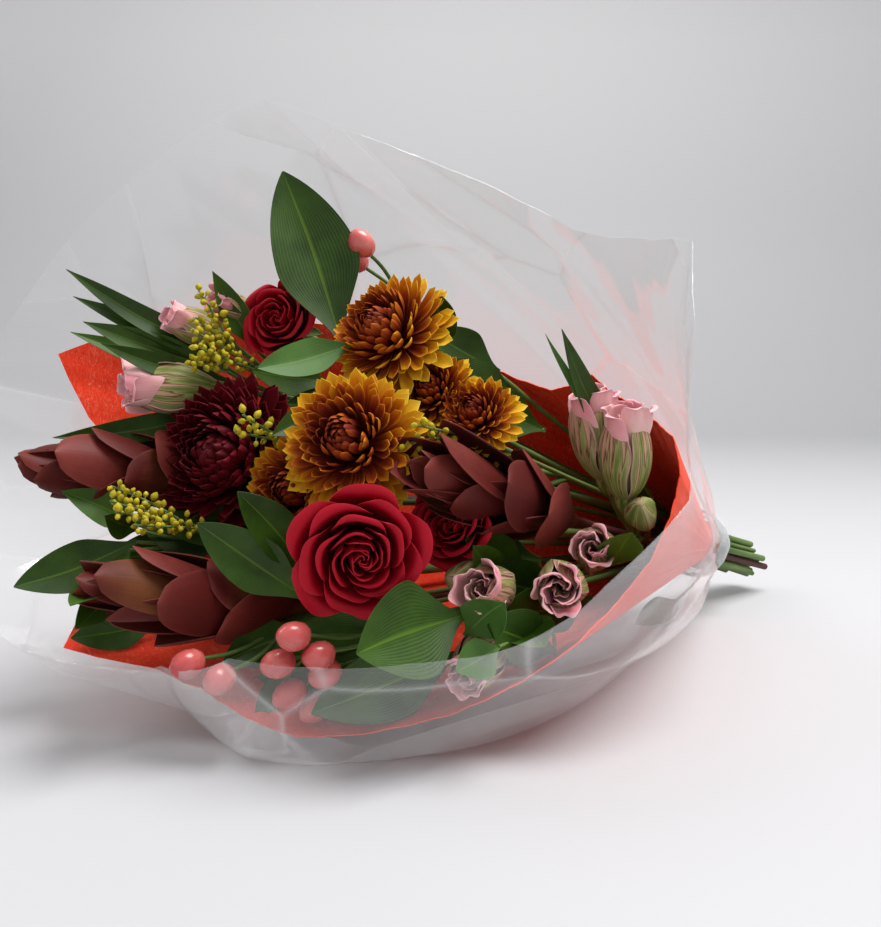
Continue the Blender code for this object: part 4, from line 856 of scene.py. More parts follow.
# Each: foot in cm, the way it looks, length in cm and its stem
blooms = {
    "left_a": ((-9.9, 1.5, 34.0), (-0.35, -0.26, 1.0), 5.4, "left"),
    "left_b": ((-10.8, 4.3, 34.2), (-0.10, 0.10, 1.0), 3.6, "left"),
    "left_c": ((-11.3, 6.0, 32.3), (0.10, 0.10, 1.0), 3.2, "left"),
    "right_a": ((6.2, 0.9, 19.8), (-0.02, 0.83, 0.55), 5.4, "right"),
    "right_b": ((7.6, 0.0, 19.8), (0.10, 0.87, 0.45), 5.2, "right"),
    "right_c": ((6.0, -4.5, 21.5), (0.60, -0.10, 0.80), 4.7, "right"),
    "right_d": ((6.0, -2.9, 19.0), (0.50, 0.10, 0.85), 4.2, "right"),
    "front_a": ((4.6, -5.8, 24.2), (0.45, 0.05, 0.90), 4.8, "front"),
    "front_b": ((5.7, -7.8, 25.0), (0.30, -0.50, 0.80), 4.2, "front"),
}
buds = {
    "right": ((8.2, -0.8, 18.8), (0.40, 0.40, 0.85), 2.5),
    "front": ((4.5, -5.3, 25.6), (0.05, -0.10, 1.0), 2.8),
}


def pinkBloom(name, base, facing, length, seed):
    rng = random.Random(seed)
    facing, length = unit(facing), length / 100
    shape = newShape()
    start = cm(base) + facing * 0.004
    for ring, layer in enumerate(bloomLayers):
        for k in range(layer[0]):
            turn = math.tau * (k + 0.41 * ring) / layer[0] + rng.uniform(-0.2, 0.2)
            grid = rosePetal(start, facing, length * rng.uniform(0.92, 1.04), layer, turn, rng, 0.015)
            addShell(shape, grid[:, ::-1], bloomLook["thick"], rng.random(), ring / 3)
    for k in range(bloomLook["stamens"]):
        way, _ = around(facing, math.radians(rng.uniform(3, 9)), math.tau * k / bloomLook["stamens"])
        tip = start + way * length * rng.uniform(0.60, 0.74)
        addTurned(shape, tip, way, ((-0.0022, 0), (-0.0015, 0.0008), (0.0, 0.0011), (0.0016, 0.0008),
                                    (0.0024, 0)), 8, 0.5, 0.5, finish=1)
    return finishShape(shape, camel("alstroemeria_" + name, "Petals"), [pinkFinish, antherFinish],
                       ["alstroemeria_bloom_" + name], "pink_petal")


def greenCup(shape, base, facing, length, seed):
    rng = random.Random(seed)
    facing, length = unit(facing), length / 100
    start = cm(base)
    for k in range(bloomLook["cupTepals"]):
        lean = math.radians(bloomLook["cupLean"]) + rng.uniform(-0.06, 0.06)
        way, upper = around(facing, lean, math.tau * k / bloomLook["cupTepals"] + 0.3 * seed)
        grid = bladeGrid(start + way * 0.002, way, upper, {
            "length": length * rng.uniform(0.92, 1.02), "width": length * 0.50, "foot": 0.40, "peak": 0.58,
            "tip": 0.60, "curl": bloomLook["cupCurl"], "tipCurl": -0.30, "lift": -0.25, "cup": 0.45, "wave": 0.08,
            "waves": 1.5, "rows": 20, "cols": 11}, rng)
        addShell(shape, grid, bloomLook["cupThick"], rng.random(), rng.uniform(0.45, 0.75), finish=1)
    addTurned(shape, start, facing, ((-0.006, 0), (-0.005, 0.0026), (0.0, 0.0050), (0.005, 0.0056),
                                     (0.009, 0)), 14, 0.4, 0.1, 6, 0.06, finish=1)


for i, (name, (base, facing, length, _)) in enumerate(blooms.items()):
    pinkBloom(name, base, facing, length, bloomLook["seed"] + i)
print("alstroemerias made")


# Stems: from the cut end through the tie, then a smooth curve to each flower

stemLook = {"pitch": 0.0053, "mouth": 0.0155, "cutEnd": 0.090, "twist": 14.0, "splay": 0.12, "steps": 26,
            "sides": 14, "forkStep": 0.009, "seed": 5}
# How far the stems reach past the tie, taken in turn
cuts = (0.088, 0.074, 0.082, 0.066, 0.079, 0.071, 0.085)
# Leafy stems: where each ends in cm, and its radius at the tie and at the end in mm
leafy = {
    "alstroemeria_left": ((-9.6, 2.2, 31.0), 2.3, 1.8),
    "alstroemeria_right": ((6.0, -1.6, 16.5), 2.3, 1.9),
    "alstroemeria_front": ((4.4, -5.8, 22.0), 2.3, 1.9),
    "ruscus_top": ((-3.6, 4.2, 29.0), 2.0, 1.4),
    "ruscus_left": ((-8.6, -7.0, 36.5), 1.9, 1.3),
    "ruscus_low": ((0.2, -8.2, 30.5), 2.0, 1.4),
}
# Where the chrysanthemum sprays and the fine stems fork, and the middles or tips that they carry
sprayForks = {"a": (-0.8, 0.6, 22.0), "b": (1.4, 1.4, 19.0)}
sprays = {"front": "a", "upper": "a", "left": "a", "right": "b", "back": "b", "under": "b"}
goldenrods = {
    "left": ((-9.6, 3.2, 33.6), ((-9.0, 6.0, 37.4), (-9.0, 4.6, 37.2), (-8.2, 3.8, 37.6), (-7.3, 2.9, 37.8),
                                 (-8.3, 2.2, 37.2))),
    "low": ((-6.6, -6.2, 35.6), ((-8.2, -4.9, 39.8), (-7.2, -5.6, 40.1), (-6.1, -6.0, 40.2),
                                 (-5.0, -6.4, 39.7))),
    "middle": ((-4.4, -0.7, 32.5), ((-2.6, -0.2, 36.9), (-3.4, -1.0, 36.6))),
    "right": ((3.4, 1.6, 27.5), ((3.7, 0.1, 31.9), (4.1, 1.0, 31.9))),
}
hypericums = {
    "low": ((1.6, -8.6, 28.5), ((2.2, -9.5, 34.6), (2.5, -10.2, 33.2), (1.0, -11.0, 34.2),
                                (2.0, -11.1, 32.2), (1.9, -12.2, 31.0), (0.8, -12.4, 33.0),
                                (1.1, -12.9, 31.6))),
    "left": ((-2.2, -10.4, 33.0), ((-1.6, -11.9, 37.2), (-0.6, -12.3, 36.0))),
    "top": ((-4.6, 9.2, 28.2), ((-4.5, 10.7, 31.2), (-6.0, 10.2, 30.4))),
}


def stemPlan():
    # Each stem that passes the tie: where it ends, the way it looks there and its two radii
    plan = {}
    for name, (centre, facing, radius, _) in roses.items():
        ending = unit(unit(facing) + 2 * unit(centre))
        below = radius / 100 * roseLook["seat"] + 0.008
        plan["rose_stem_" + name] = (cm(centre) - unit(facing) * below, ending, 2.4, 2.4)
    for name, fork in sprayForks.items():
        plan["mum_spray_" + name] = (cm(fork), unit(fork), 2.3, 2.0)
    centre, facing, radius = darkMum[:3]
    below = radius / 100 * mumLook["seat"] + 0.006
    plan["burgundy_mum_stem"] = (cm(centre) - unit(facing) * below, unit(facing), 2.4, 2.3)
    for name, (base, facing, _) in cones.items():
        plan["leucadendron_" + name] = (cm(base) - unit(facing) * 0.004, unit(facing), 2.4, 3.0)
    for name, (end, low, high) in leafy.items():
        plan[name + "_stem"] = (cm(end), unit(end), low, high)
    for name, (fork, _) in goldenrods.items():
        plan["goldenrod_" + name] = (cm(fork), unit(fork), 1.6, 1.2)
    for name, (fork, _) in hypericums.items():
        plan["hypericum_" + name] = (cm(fork), unit(fork), 1.8, 1.4)
    return plan


def stemSlots(count):
    # Places for the stems in the tie, packed like coins from the middle out
    places = []
    for row in range(-5, 6):
        for column in range(-5, 6):
            u = (column + 0.5 * (row % 2)) * stemLook["pitch"]
            v = row * stemLook["pitch"] * math.sqrt(3) / 2
            places.append((math.hypot(u, v), u, v))
    places.sort()
    return [np.array((u, v, 0.0)) for _, u, v in places[:count]]


def shareSlots(plan):
    # The widest-leaning stems choose first, each the free place nearest its own side
    free = stemSlots(len(plan))
    order = sorted(plan, key=lambda name: -np.linalg.norm(plan[name][0][:2]) / plan[name][0][2])
    chosen = {}
    for name in order:
        u, v, w = plan[name][0]
        wanted = np.array((u, v, 0.0)) / w * (stemLook["mouth"] / 0.36)
        best = min(range(len(free)), key=lambda n: np.linalg.norm(free[n] - wanted))
        chosen[name] = free.pop(best)
    return chosen


def bezier(a, b, c, d, t):
    t = np.asarray(t)[:, None]
    return a * (1 - t) ** 3 + b * 3 * t * (1 - t) ** 2 + c * 3 * t * t * (1 - t) + d * t ** 3


def stemPath(slot, base, facing, cut):
    turn = math.radians(stemLook["twist"]) * cut / stemLook["cutEnd"]
    grow = 1 + stemLook["splay"] * cut / stemLook["cutEnd"]
    c, s = math.cos(turn), math.sin(turn)
    end = np.array(((c * slot[0] - s * slot[1]) * grow, (s * slot[0] + c * slot[1]) * grow, -cut))
    slot = slot + np.array((0, 0, bunch["collar"]))
    reach = np.linalg.norm(base - slot)
    curve = bezier(slot, slot + (base - slot) * 0.33, base - facing * reach * 0.22, base,
                   np.linspace(0, 1, stemLook["steps"]))
    tail = [end + (slot - end) * k / 8 for k in range(8)]
    return np.concatenate([tail, curve])


def backAlong(path, distance):
    # The point this far back from a path's end
    for a, b in zip(path[-2::-1], path[:0:-1]):
        step = np.linalg.norm(b - a)
        if distance <= step:
            return b + (a - b) * (distance / step)
        distance -= step
    return path[0]


def twig(start, end, low, high, bow=0.08, steps=9):
    # A slightly bowed line between two points, and its radii
    side = sides(unit(end - start))[1]
    t = np.linspace(0, 1, steps)
    arch = np.sin(math.pi * t) * bow * np.linalg.norm(end - start)
    line = start + (end - start) * t[:, None] + side * arch[:, None]
    return line, np.linspace(low, high, steps)


def lineMesh(name, runs):
    # Bare edges that carry their thickness, for the stem tree
    points, edges, thick = [], [], []
    for line, radii in runs:
        first = len(points)
        points += list(line)
        thick += list(radii)
        edges += [(first + k, first + k + 1) for k in range(len(line) - 1)]
    mesh = bpy.data.meshes.new(name)
    mesh.from_pydata(toRoom(points).tolist(), edges, [])
    layer = mesh.attributes.new("thick", "FLOAT", "POINT")
    layer.data.foreach_set("value", thick)
    return mesh


def addKnots(radii, rng, share=0.16, spacing=9):
    # Small swellings where leaves were stripped
    radii = np.array(radii)
    for k in range(3, len(radii) - 4, spacing):
        radii[min(len(radii) - 1, k + rng.randrange(3))] *= 1 + share
    return radii


plan = stemPlan()
slots = shareSlots(plan)
paths, runs = {}, {}
stemRng = random.Random(stemLook["seed"])
for i, (name, (base, facing, thick, thin)) in enumerate(plan.items()):
    paths[name] = stemPath(slots[name], base, facing, cuts[i % len(cuts)])
    radii = np.linspace(thick, thin, len(paths[name])) / 1000
    runs[name] = [(paths[name], addKnots(radii, stemRng))]

extras = {name: newShape() for name in plan}
for name, (centre, facing, radius, *_) in mums.items():
    key = "mum_spray_" + sprays[name]
    base = cm(centre) - unit(facing) * radius / 100 * mumLook["seat"]
    start = backAlong(paths[key], stemLook["forkStep"] * (len(runs[key]) - 1))
    runs[key].append(twig(start, base, 0.0019, 0.0017))
    addTurned(extras[key], base, unit(facing), ((-0.009, 0), (-0.006, 0.0035), (0.0, 0.0068), (0.004, 0.0080),
                                                (0.008, 0)), 18, 0.5, 0.5, 9, 0.08)
centre, facing, radius = darkMum[:3]
addTurned(extras["burgundy_mum_stem"], cm(centre) - unit(facing) * radius / 100 * 0.66, unit(facing),
          ((-0.011, 0), (-0.007, 0.0040), (0.0, 0.0080), (0.005, 0.0095), (0.009, 0)), 18, 0.5, 0.5, 9, 0.08)
for name, (centre, facing, radius, _) in roses.items():
    key = "rose_stem_" + name
    base = cm(centre) - unit(facing) * radius / 100 * roseLook["seat"]
    addTurned(extras[key], base, unit(facing), ((-0.012, 0), (-0.009, 0.0032), (-0.004, 0.0056), (0.001, 0.0052),
                                                (0.004, 0)), 14, 0.5, 0.5)
    for k in range(roseLook["sepals"]):
        turn = math.tau * k / roseLook["sepals"] + 0.4
        way, upper = around(unit(facing), math.radians(roseLook["sepalLean"]), turn)
        grid = bladeGrid(base + way * 0.003, way, upper, {"length": radius * 0.0050, "width": 0.0065, "foot": 0.7,
                                                          "peak": 0.25, "tip": 1.2, "curl": -0.7, "cup": 0.3})
        addShell(extras[key], grid, roseLook["sepalThick"], 0.6, 0.5)
for i, (name, (base, facing, length, stem)) in enumerate(blooms.items()):
    key = f"alstroemeria_{stem}_stem"
    greenCup(extras[key], base, facing, length, bloomLook["seed"] + i)
    start = backAlong(paths[key], stemLook["forkStep"] * (i % 4))
    runs[key].append(twig(start, cm(base) - unit(facing) * 0.004, 0.0016, 0.0014, 0.05))
for i, (name, (base, facing, length)) in enumerate(buds.items()):
    key = f"alstroemeria_{name}_stem"
    middle = cm(base) + unit(facing) * length / 200
    size = length / 100
    addTurned(extras[key], middle, unit(facing), [(h * size, r * size) for h, r in (
        (-0.5, 0), (-0.44, 0.10), (-0.30, 0.24), (-0.10, 0.33), (0.12, 0.32), (0.32, 0.22), (0.45, 0.10),
        (0.5, 0))], 18, 0.3, 0.3, 3, 0.10, finish=1)
    start = backAlong(paths[key], 3 * stemLook["forkStep"])
    runs[key].append(twig(start, cm(base) + unit(facing) * 0.002, 0.0015, 0.0013, 0.05))


# Leaves: a curved blade from a stalk on its own stem

leafLook = {"thick": 0.0007, "seed": 31, "rows": 26, "cols": 11}
# Each leaf: its root, its tip and its width, in cm
leaves = {
    "alstroemeria_left": (
        ((-10.6, 3.3, 33.4), (-13.0, 5.4, 42.8), 1.3),
        ((-10.5, 2.8, 33.6), (-13.3, 4.2, 42.0), 1.2),
        ((-10.3, 2.6, 33.8), (-13.2, 3.1, 41.2), 1.6),
        ((-10.6, 2.2, 33.0), (-15.0, 2.6, 41.0), 1.4),
        ((-9.8, 2.0, 33.4), (-10.8, 2.0, 41.0), 1.3),
        ((-9.9, 0.4, 33.6), (-12.4, -3.2, 41.5), 1.4),
        ((-11.2, 0.2, 33.0), (-14.0, -4.4, 42.0), 1.2),
        ((-10.0, 4.2, 32.6), (-10.4, 7.6, 36.2), 1.5),
        ((-10.4, 1.2, 28.0), (-8.4, -1.8, 33.0), 2.4),
    ),
    "alstroemeria_right": (
        ((7.4, 0.8, 17.2), (7.0, 7.2, 27.0), 1.4),
        ((6.6, 1.8, 19.5), (6.4, 6.8, 27.4), 0.5),
        ((8.0, -3.2, 20.5), (10.3, -1.5, 22.6), 2.2),
    ),
    "alstroemeria_front": (
        ((5.9, -7.0, 28.0), (5.7, -9.4, 33.8), 4.2),
        ((5.6, -8.0, 27.4), (8.8, -5.9, 28.7), 2.1),
        ((4.4, -5.4, 24.6), (5.8, -3.8, 28.4), 1.7),
        ((7.6, -8.0, 27.0), (8.0, -9.3, 30.0), 1.8),
        ((6.2, -6.9, 24.6), (9.2, -7.6, 25.8), 2.3),
        ((4.8, -9.0, 26.6), (2.2, -12.9, 32.6), 3.3),
        ((8.0, -7.9, 23.4), (7.2, -7.2, 27.8), 2.6),
        ((6.6, -5.6, 20.5), (6.4, -6.8, 26.4), 2.4),
        ((4.2, -4.6, 22.0), (4.4, -3.6, 27.6), 2.2),
        ((5.4, -7.6, 21.4), (5.0, -8.6, 26.6), 2.4),
        ((5.5, -5.4, 20.0), (3.8, -5.4, 26.0), 2.6),
        ((5.6, -5.1, 18.2), (5.6, -6.8, 24.2), 2.4),
        ((3.8, -3.7, 21.0), (1.1, -3.9, 26.0), 2.4),
    ),
    "ruscus_top": (
        ((-4.2, 5.1, 31.1), (-7.6, 13.4, 35.1), 4.3),
        ((-2.4, 5.0, 31.6), (-3.8, 2.3, 36.0), 1.9),
        ((-1.6, 3.4, 30.8), (-2.4, -0.8, 35.2), 1.8),
        ((-1.6, 5.9, 27.2), (0.8, 8.2, 29.4), 2.2),
        ((-4.0, 2.6, 28.0), (-4.6, 1.2, 33.4), 2.2),
        ((-6.6, 3.4, 29.6), (-7.0, 2.6, 34.4), 2.0),
        ((-0.2, 4.9, 21.0), (-0.8, 5.2, 27.0), 2.6),
        ((1.3, 3.5, 20.0), (0.3, 3.7, 26.0), 2.6),
        ((-1.3, 6.3, 22.0), (-2.4, 7.1, 27.0), 2.4),
        ((-9.0, 2.8, 27.0), (-9.8, 3.0, 32.0), 2.4),
    ),
    "ruscus_left": (
        ((-8.9, -6.6, 37.2), (-10.4, -5.7, 41.2), 1.7),
        ((-9.1, -7.4, 37.2), (-11.1, -10.8, 42.0), 2.4),
        ((-8.5, -7.8, 37.8), (-3.0, -10.2, 42.6), 2.0),
        ((-8.6, -8.2, 36.8), (-5.0, -11.5, 41.2), 1.9),
        ((-8.2, -6.8, 37.8), (-7.2, -6.3, 40.2), 1.4),
        ((-7.6, -11.2, 35.6), (-8.7, -12.6, 39.6), 1.8),
        ((-6.4, -7.2, 32.6), (-8.8, -6.2, 37.8), 2.4),
        ((-5.6, -4.6, 31.0), (-7.4, -6.6, 36.4), 2.2),
        ((-8.8, -5.0, 30.0), (-8.2, -7.3, 35.0), 2.6),
        ((-10.0, -7.0, 32.6), (-10.2, -8.6, 38.0), 2.4),
    ),
    "ruscus_low": (
        ((0.2, -8.1, 32.6), (-2.4, -5.6, 38.0), 2.5),
        ((-0.3, -7.0, 32.4), (-1.0, -3.8, 37.2), 2.1),
        ((-1.4, -9.6, 31.2), (-2.2, -11.8, 35.0), 2.2),
        ((-1.2, -11.6, 31.6), (-1.2, -14.2, 33.2), 1.2),
        ((-2.6, -10.2, 29.6), (-3.4, -9.6, 35.4), 3.0),
        ((-0.6, -6.4, 27.0), (-3.4, -5.6, 32.4), 2.4),
        ((0.4, -10.2, 28.4), (-2.0, -12.4, 33.0), 2.4),
        ((2.6, -9.0, 28.0), (-0.1, -9.9, 33.0), 2.6),
        ((-2.1, -7.8, 27.0), (-3.1, -8.8, 33.0), 2.6),
    ),
}
# Leaves that show their pale under side or are young
paleLeaves = {("ruscus_top", 1), ("alstroemeria_right", 1), ("alstroemeria_front", 3), ("alstroemeria_front", 1)}


def addLeaf(shape, lineRuns, path, root, tip, width, rng, tint, finish):
    root, tip = cm(root), cm(tip)
    chord = tip - root
    length = np.linalg.norm(chord)
    broad = width > 1.7
    curl = 0.5
    along = unit(chord)
    face = np.array((0.7, 0.1, 0.6))
    across = unit(np.cross(along, face))
    up = np.cross(across, along)
    way = along * math.cos(curl / 2) - up * math.sin(curl / 2)
    grid = bladeGrid(root, way, np.cross(across, way), {
        "length": length * (1 + curl * curl / 24), "width": width / 100 * 1.05, "foot": 0.10,
        "peak": 0.46 if broad else 0.42, "tip": 0.86 if broad else 1.05, "curl": curl, "cup": 0.18,
        "fold": 0.16 if broad else 0.26, "wave": 0.07, "waves": 1.4, "sway": rng.uniform(-0.03, 0.03),
        "twist": rng.uniform(-0.25, 0.25), "rows": leafLook["rows"], "cols": leafLook["cols"]}, rng)
    addShell(shape, grid, leafLook["thick"], tint, rng.random(), finish=finish)
    fork = backAlong(path, stemLook["forkStep"] * rng.uniform(0.5, 4.0))
    lineRuns.append(twig(fork, root + way * 0.001, 0.0011, 0.0009, 0.05))


leafRng = random.Random(leafLook["seed"])
for name, group in leaves.items():
    key = name + "_stem"
    for k, (root, tip, width) in enumerate(group):
        pale = (name, k) in paleLeaves
        addLeaf(extras[key], runs[key], paths[key], root, tip, width, leafRng, leafRng.random() * 0.6, 3 if pale else 2)

# One more small leaf hangs outside the wrap, from a stem's tail just behind the tie
tail = paths["ruscus_low_stem"][5]
addLeaf(extras["ruscus_low_stem"], runs["ruscus_low_stem"], np.array((tail, tail)), (0.9, -4.2, 2.2),
        (0.4, -6.5, 6.0), 1.7, leafRng, 0.3, 2)
print("leaves made")


# Berries: pointed and glossy, on stalks with five small sepals

berryLook = {"radius": 0.0068, "length": 0.0180, "sepals": 5, "sepalThick": 0.0006, "seed": 70}
berryProfile = ((-0.50, 0), (-0.47, 0.30), (-0.38, 0.66), (-0.22, 0.92), (0.0, 1.0), (0.18, 0.93), (0.34, 0.68),
                (0.45, 0.34), (0.50, 0))
berryRng = random.Random(berryLook["seed"])
berryShapes = {}
for name, (fork, berries) in hypericums.items():
    key = "hypericum_" + name
    berryShapes[name] = newShape()
    for i, middle in enumerate(cm(berries)):
        start = backAlong(paths[key], stemLook["forkStep"] * (i % 5))
        way = unit(middle - start)
        addTurned(berryShapes[name], middle, way, [(h * berryLook["length"], r * berryLook["radius"])
                                                   for h, r in berryProfile], 20, berryRng.random(), 0.5, 3, 0.04)
        foot = middle - way * berryLook["length"] * 0.47
        runs[key].append(twig(start, foot, 0.0011, 0.0010, 0.06))
        for k in range(berryLook["sepals"]):
            out, upper = around(way, math.radians(60), math.tau * k / berryLook["sepals"])
            grid = bladeGrid(foot - way * 0.0005, out, upper, {"length": 0.0085, "width": 0.0042, "foot": 0.5,
                                                                "peak": 0.45, "tip": 0.8, "curl": 0.6, "cup": 0.4,
                                                                "rows": 8, "cols": 5})
            addShell(extras[key], grid, berryLook["sepalThick"], 0.7, 0.5, finish=3)

# Goldenrod: tiny buds on arched twigs
rodLook = {"bud": 0.00170, "perTwig": {"left": 23, "low": 24, "middle": 11, "right": 9}, "seed": 90}
budShape = newShape()
addTurned(budShape, np.zeros(3), np.array((0.0, 0.0, 1.0)), ((-1.1, 0), (-0.7, 0.75), (0.1, 1.0), (0.8, 0.62),
                                                            (1.3, 0)), 7)
budKinds = shapeKinds("goldenrodBud", [budShape])
for i, (name, (fork, ends)) in enumerate(goldenrods.items()):
    key = "goldenrod_" + name
    rng = random.Random(rodLook["seed"] + i)
    points, turns, sizes, data = [], [], [], []
    for k, end in enumerate(cm(ends)):
        start = backAlong(paths[key], stemLook["forkStep"] * (k % 4))
        side = sides(unit(end - start))[0]
        t = np.linspace(0, 1, 16)[:, None]
        bow = (start + end) / 2 + side * np.linalg.norm(end - start) * 0.10
        line = start * (1 - t) ** 2 + bow * 2 * t * (1 - t) + end * t * t
        runs[key].append((line, np.linspace(0.0008, 0.0005, len(line))))
        count = rodLook["perTwig"][name]
        for n in range(count):
            share = 0.30 + 0.70 * (n + rng.random()) / count
            spot = start * (1 - share) ** 2 + bow * 2 * share * (1 - share) + end * share ** 2
            way, upper = around(unit(end - start), math.radians(rng.uniform(50, 100)), 2.4 * n + rng.uniform(-0.3, 0.3))
            out = rng.uniform(0.0018, 0.0058) * (1.2 - 0.55 * share)
            points.append(spot + way * out)
            runs[key].append((np.array((spot, spot + way * out * 0.9)), (0.00032, 0.00028)))
            turns.append(turnOf(np.cross(upper, way), upper, way))
            size = rodLook["bud"] * rng.uniform(0.75, 1.15)
            sizes.append((size, size, size * 1.1))
            data.append((rng.random(), 0, share, 0))
    mesh = pointMesh("goldenrodBuds" + name.capitalize(), points, turns, sizes, [0] * len(points), data)
    item = runTree("goldenrodBuds" + name.capitalize(), mesh, scatter,
                   {"Shapes": budKinds, "Finish": budYellow, "Size spread": 0.1, "Seed": rodLook["seed"] + i})
    place(item, [budYellow], [key], "yellow_bud")
dropKinds(budKinds)
print("goldenrod made")

for name, shape in berryShapes.items():
    finishShape(shape, "hypericumBerries" + name.capitalize(), [berryCoral], ["hypericum_" + name], "coral_berry")


# Stems as rods along their lines; the woody ones are maroon
plantSlots = {"leucadendron": "maroon_bract", "ruscus": "dark_leaf", "goldenrod": "yellow_bud",
              "hypericum": "coral_berry"}
for name, stretch in runs.items():
    plant = name.split("_")[0]
    slot = plantSlots.get(plant, "green_stem")
    finish = stemMaroon if plant == "leucadendron" else stemGreen
    item = runTree(camel(name, "Rods"), lineMesh(name, stretch), lines, {"Sides": stemLook["sides"], "Finish": finish})
    place(item, [finish], [name], slot)
    if extras[name]["count"]:
        finishShape(extras[name], camel(name, "Leaves"), [stemGreen, cupFinish, leafGreen, leafPale], [name], slot)
for name, shape in coneShapes.items():
    finishShape(shape, "leucadendronBracts" + name.capitalize(), [bractFinish], ["leucadendron_" + name],
                "maroon_bract")
print("stems made")


# Wrap and liner: cones of thin sheet gathered in the tie

# Film by azimuth: radius and height of its belly, then of its rim, in cm
wrapShape = (
    (0, 10.0, 17.5, 15.0, 26.0), (10, 9.6, 17.8, 14.2, 25.1), (20, 9.3, 18.0, 14.3, 25.0),
    (30, 9.0, 18.0, 14.7, 24.7), (40, 9.3, 17.6, 15.5, 24.1), (50, 9.8, 16.9, 16.7, 23.3),
    (60, 10.1, 16.1, 15.3, 22.4), (70, 10.3, 15.5, 14.7, 22.2), (80, 10.4, 15.5, 14.5, 22.8),
    (90, 10.9, 16.2, 15.2, 24.7), (100, 11.8, 18.2, 16.4, 28.5), (110, 13.0, 20.8, 17.8, 32.6),
    (120, 14.3, 23.2, 20.3, 36.0), (130, 15.2, 24.9, 20.6, 37.5), (140, 15.6, 25.6, 21.2, 38.5),
    (150, 16.0, 26.4, 22.2, 39.4), (160, 16.3, 27.1, 23.2, 40.4), (180, 16.9, 28.2, 24.8, 41.9),
    (200, 17.0, 28.5, 24.6, 42.2), (220, 17.3, 28.8, 21.0, 41.2), (240, 19.0, 31.0, 16.6, 38.7),
    (255, 20.5, 33.0, 13.0, 37.5), (270, 21.0, 34.0, 11.7, 38.0), (285, 20.0, 33.0, 11.1, 38.0),
    (300, 18.0, 30.0, 11.5, 36.0), (320, 15.5, 25.0, 13.2, 32.5), (340, 13.0, 21.0, 15.3, 30.5),
)
# Liner by azimuth: how far it flares for its height, and the height of its edge in cm
linerShape = (
    (5, 0.430, 19.0), (15, 0.440, 19.2), (25, 0.420, 18.6), (35, 0.385, 17.3), (45, 0.360, 16.6),
    (55, 0.345, 16.1), (65, 0.338, 16.0), (75, 0.345, 16.0), (85, 0.372, 16.3), (95, 0.330, 16.3),
    (105, 0.300, 16.8), (115, 0.310, 18.5), (125, 0.350, 20.0), (135, 0.400, 22.5), (145, 0.400, 27.5),
    (155, 0.400, 32.5), (165, 0.405, 36.8), (175, 0.410, 40.2), (185, 0.405, 38.0), (195, 0.395, 35.0),
    (205, 0.390, 33.5), (215, 0.385, 34.6), (225, 0.385, 38.0), (235, 0.362, 39.6), (245, 0.350, 36.3),
    (255, 0.350, 34.8), (275, 0.385, 32.5), (295, 0.405, 28.5), (325, 0.425, 24.5), (345, 0.425, 20.5),
)
wrapLook = {"mouth": 0.0200, "thick": 0.0004, "columns": 288, "rows": 64, "pleats": 12, "creases": 13,
            "seed": 3}
linerLook = {"mouth": 0.0172, "thick": 0.0005, "columns": 288, "rows": 54, "seed": 4}


def tableAt(table, azimuth):
    # Rows of a table at any azimuths, straight between them
    table = np.array(table)
    x = np.concatenate([table[-1:, 0] - 360, table[:, 0], table[:1, 0] + 360])
    azimuth = np.mod(np.asarray(azimuth, float), 360)
    return [np.interp(azimuth, x, np.concatenate([table[-1:, k], table[:, k], table[:1, k]]))
            for k in range(1, table.shape[1])]


def ridges(azimuth, count, rng, sharp=3.0):
    # Uneven ridges round a sheet, from sums of cosines
    value = 0
    for k in range(count):
        n = rng.randint(7, 36)
        wave = np.cos(np.radians(azimuth) * n + rng.uniform(0, math.tau))
        value = value + (1 - np.abs(wave)) ** sharp * rng.uniform(0.4, 1.0) * rng.choice((-1, 1))
    return value / count


def ringShell(name, grid, thick):
    # Closed thin sheet over a grid that runs right round; rows go from the collar to the rim
    rows, cols = grid.shape[:2]
    wide = np.concatenate([grid[:, -1:], grid, grid[:, :1]], 1)
    normal = gridNormals(wide)[:, 1:-1]
    points = np.concatenate([(grid + normal * thick / 2).reshape(-1, 3), (grid - normal * thick / 2).reshape(-1, 3)])
    under = rows * cols
    v, u = np.meshgrid(np.linspace(0, 1, rows), np.arange(cols) / cols, indexing="ij")
    faces = []
    for i in range(rows - 1):
        for j in range(cols):
            a, b = i * cols + j, i * cols + (j + 1) % cols
            quad = (a, b, b + cols, a + cols)
            faces += [quad, tuple(n + under for n in reversed(quad))]
    for j in range(cols):
        a, b = j, (j + 1) % cols
        faces.append((a, a + under, b + under, b))
        c, d = (rows - 1) * cols + j, (rows - 1) * cols + (j + 1) % cols
        faces.append((d, d + under, c + under, c))
    mesh = bpy.data.meshes.new(name)
    mesh.from_pydata(points.tolist(), [], faces)
    corners = np.zeros(len(mesh.loops), np.int32)
    mesh.loops.foreach_get("vertex_index", corners)
    uv = np.stack([u.ravel(), v.ravel()], 1)
    mesh.uv_layers.new(name="petalUv").data.foreach_set("uv", np.concatenate([uv, uv])[corners].ravel())
    mesh.shade_smooth()
    return mesh


def layDown(room, gap):
    # Keep a sheet on or above the floor
    room[..., 2] = np.maximum(room[..., 2], gap)
    return room


def polar(azimuth, radius, height):
    angle = np.radians(azimuth)
    return np.stack([radius * np.cos(angle), radius * np.sin(angle), height], -1)


def areaOf(mesh):
    return sum(poly.area for poly in mesh.polygons) / 2


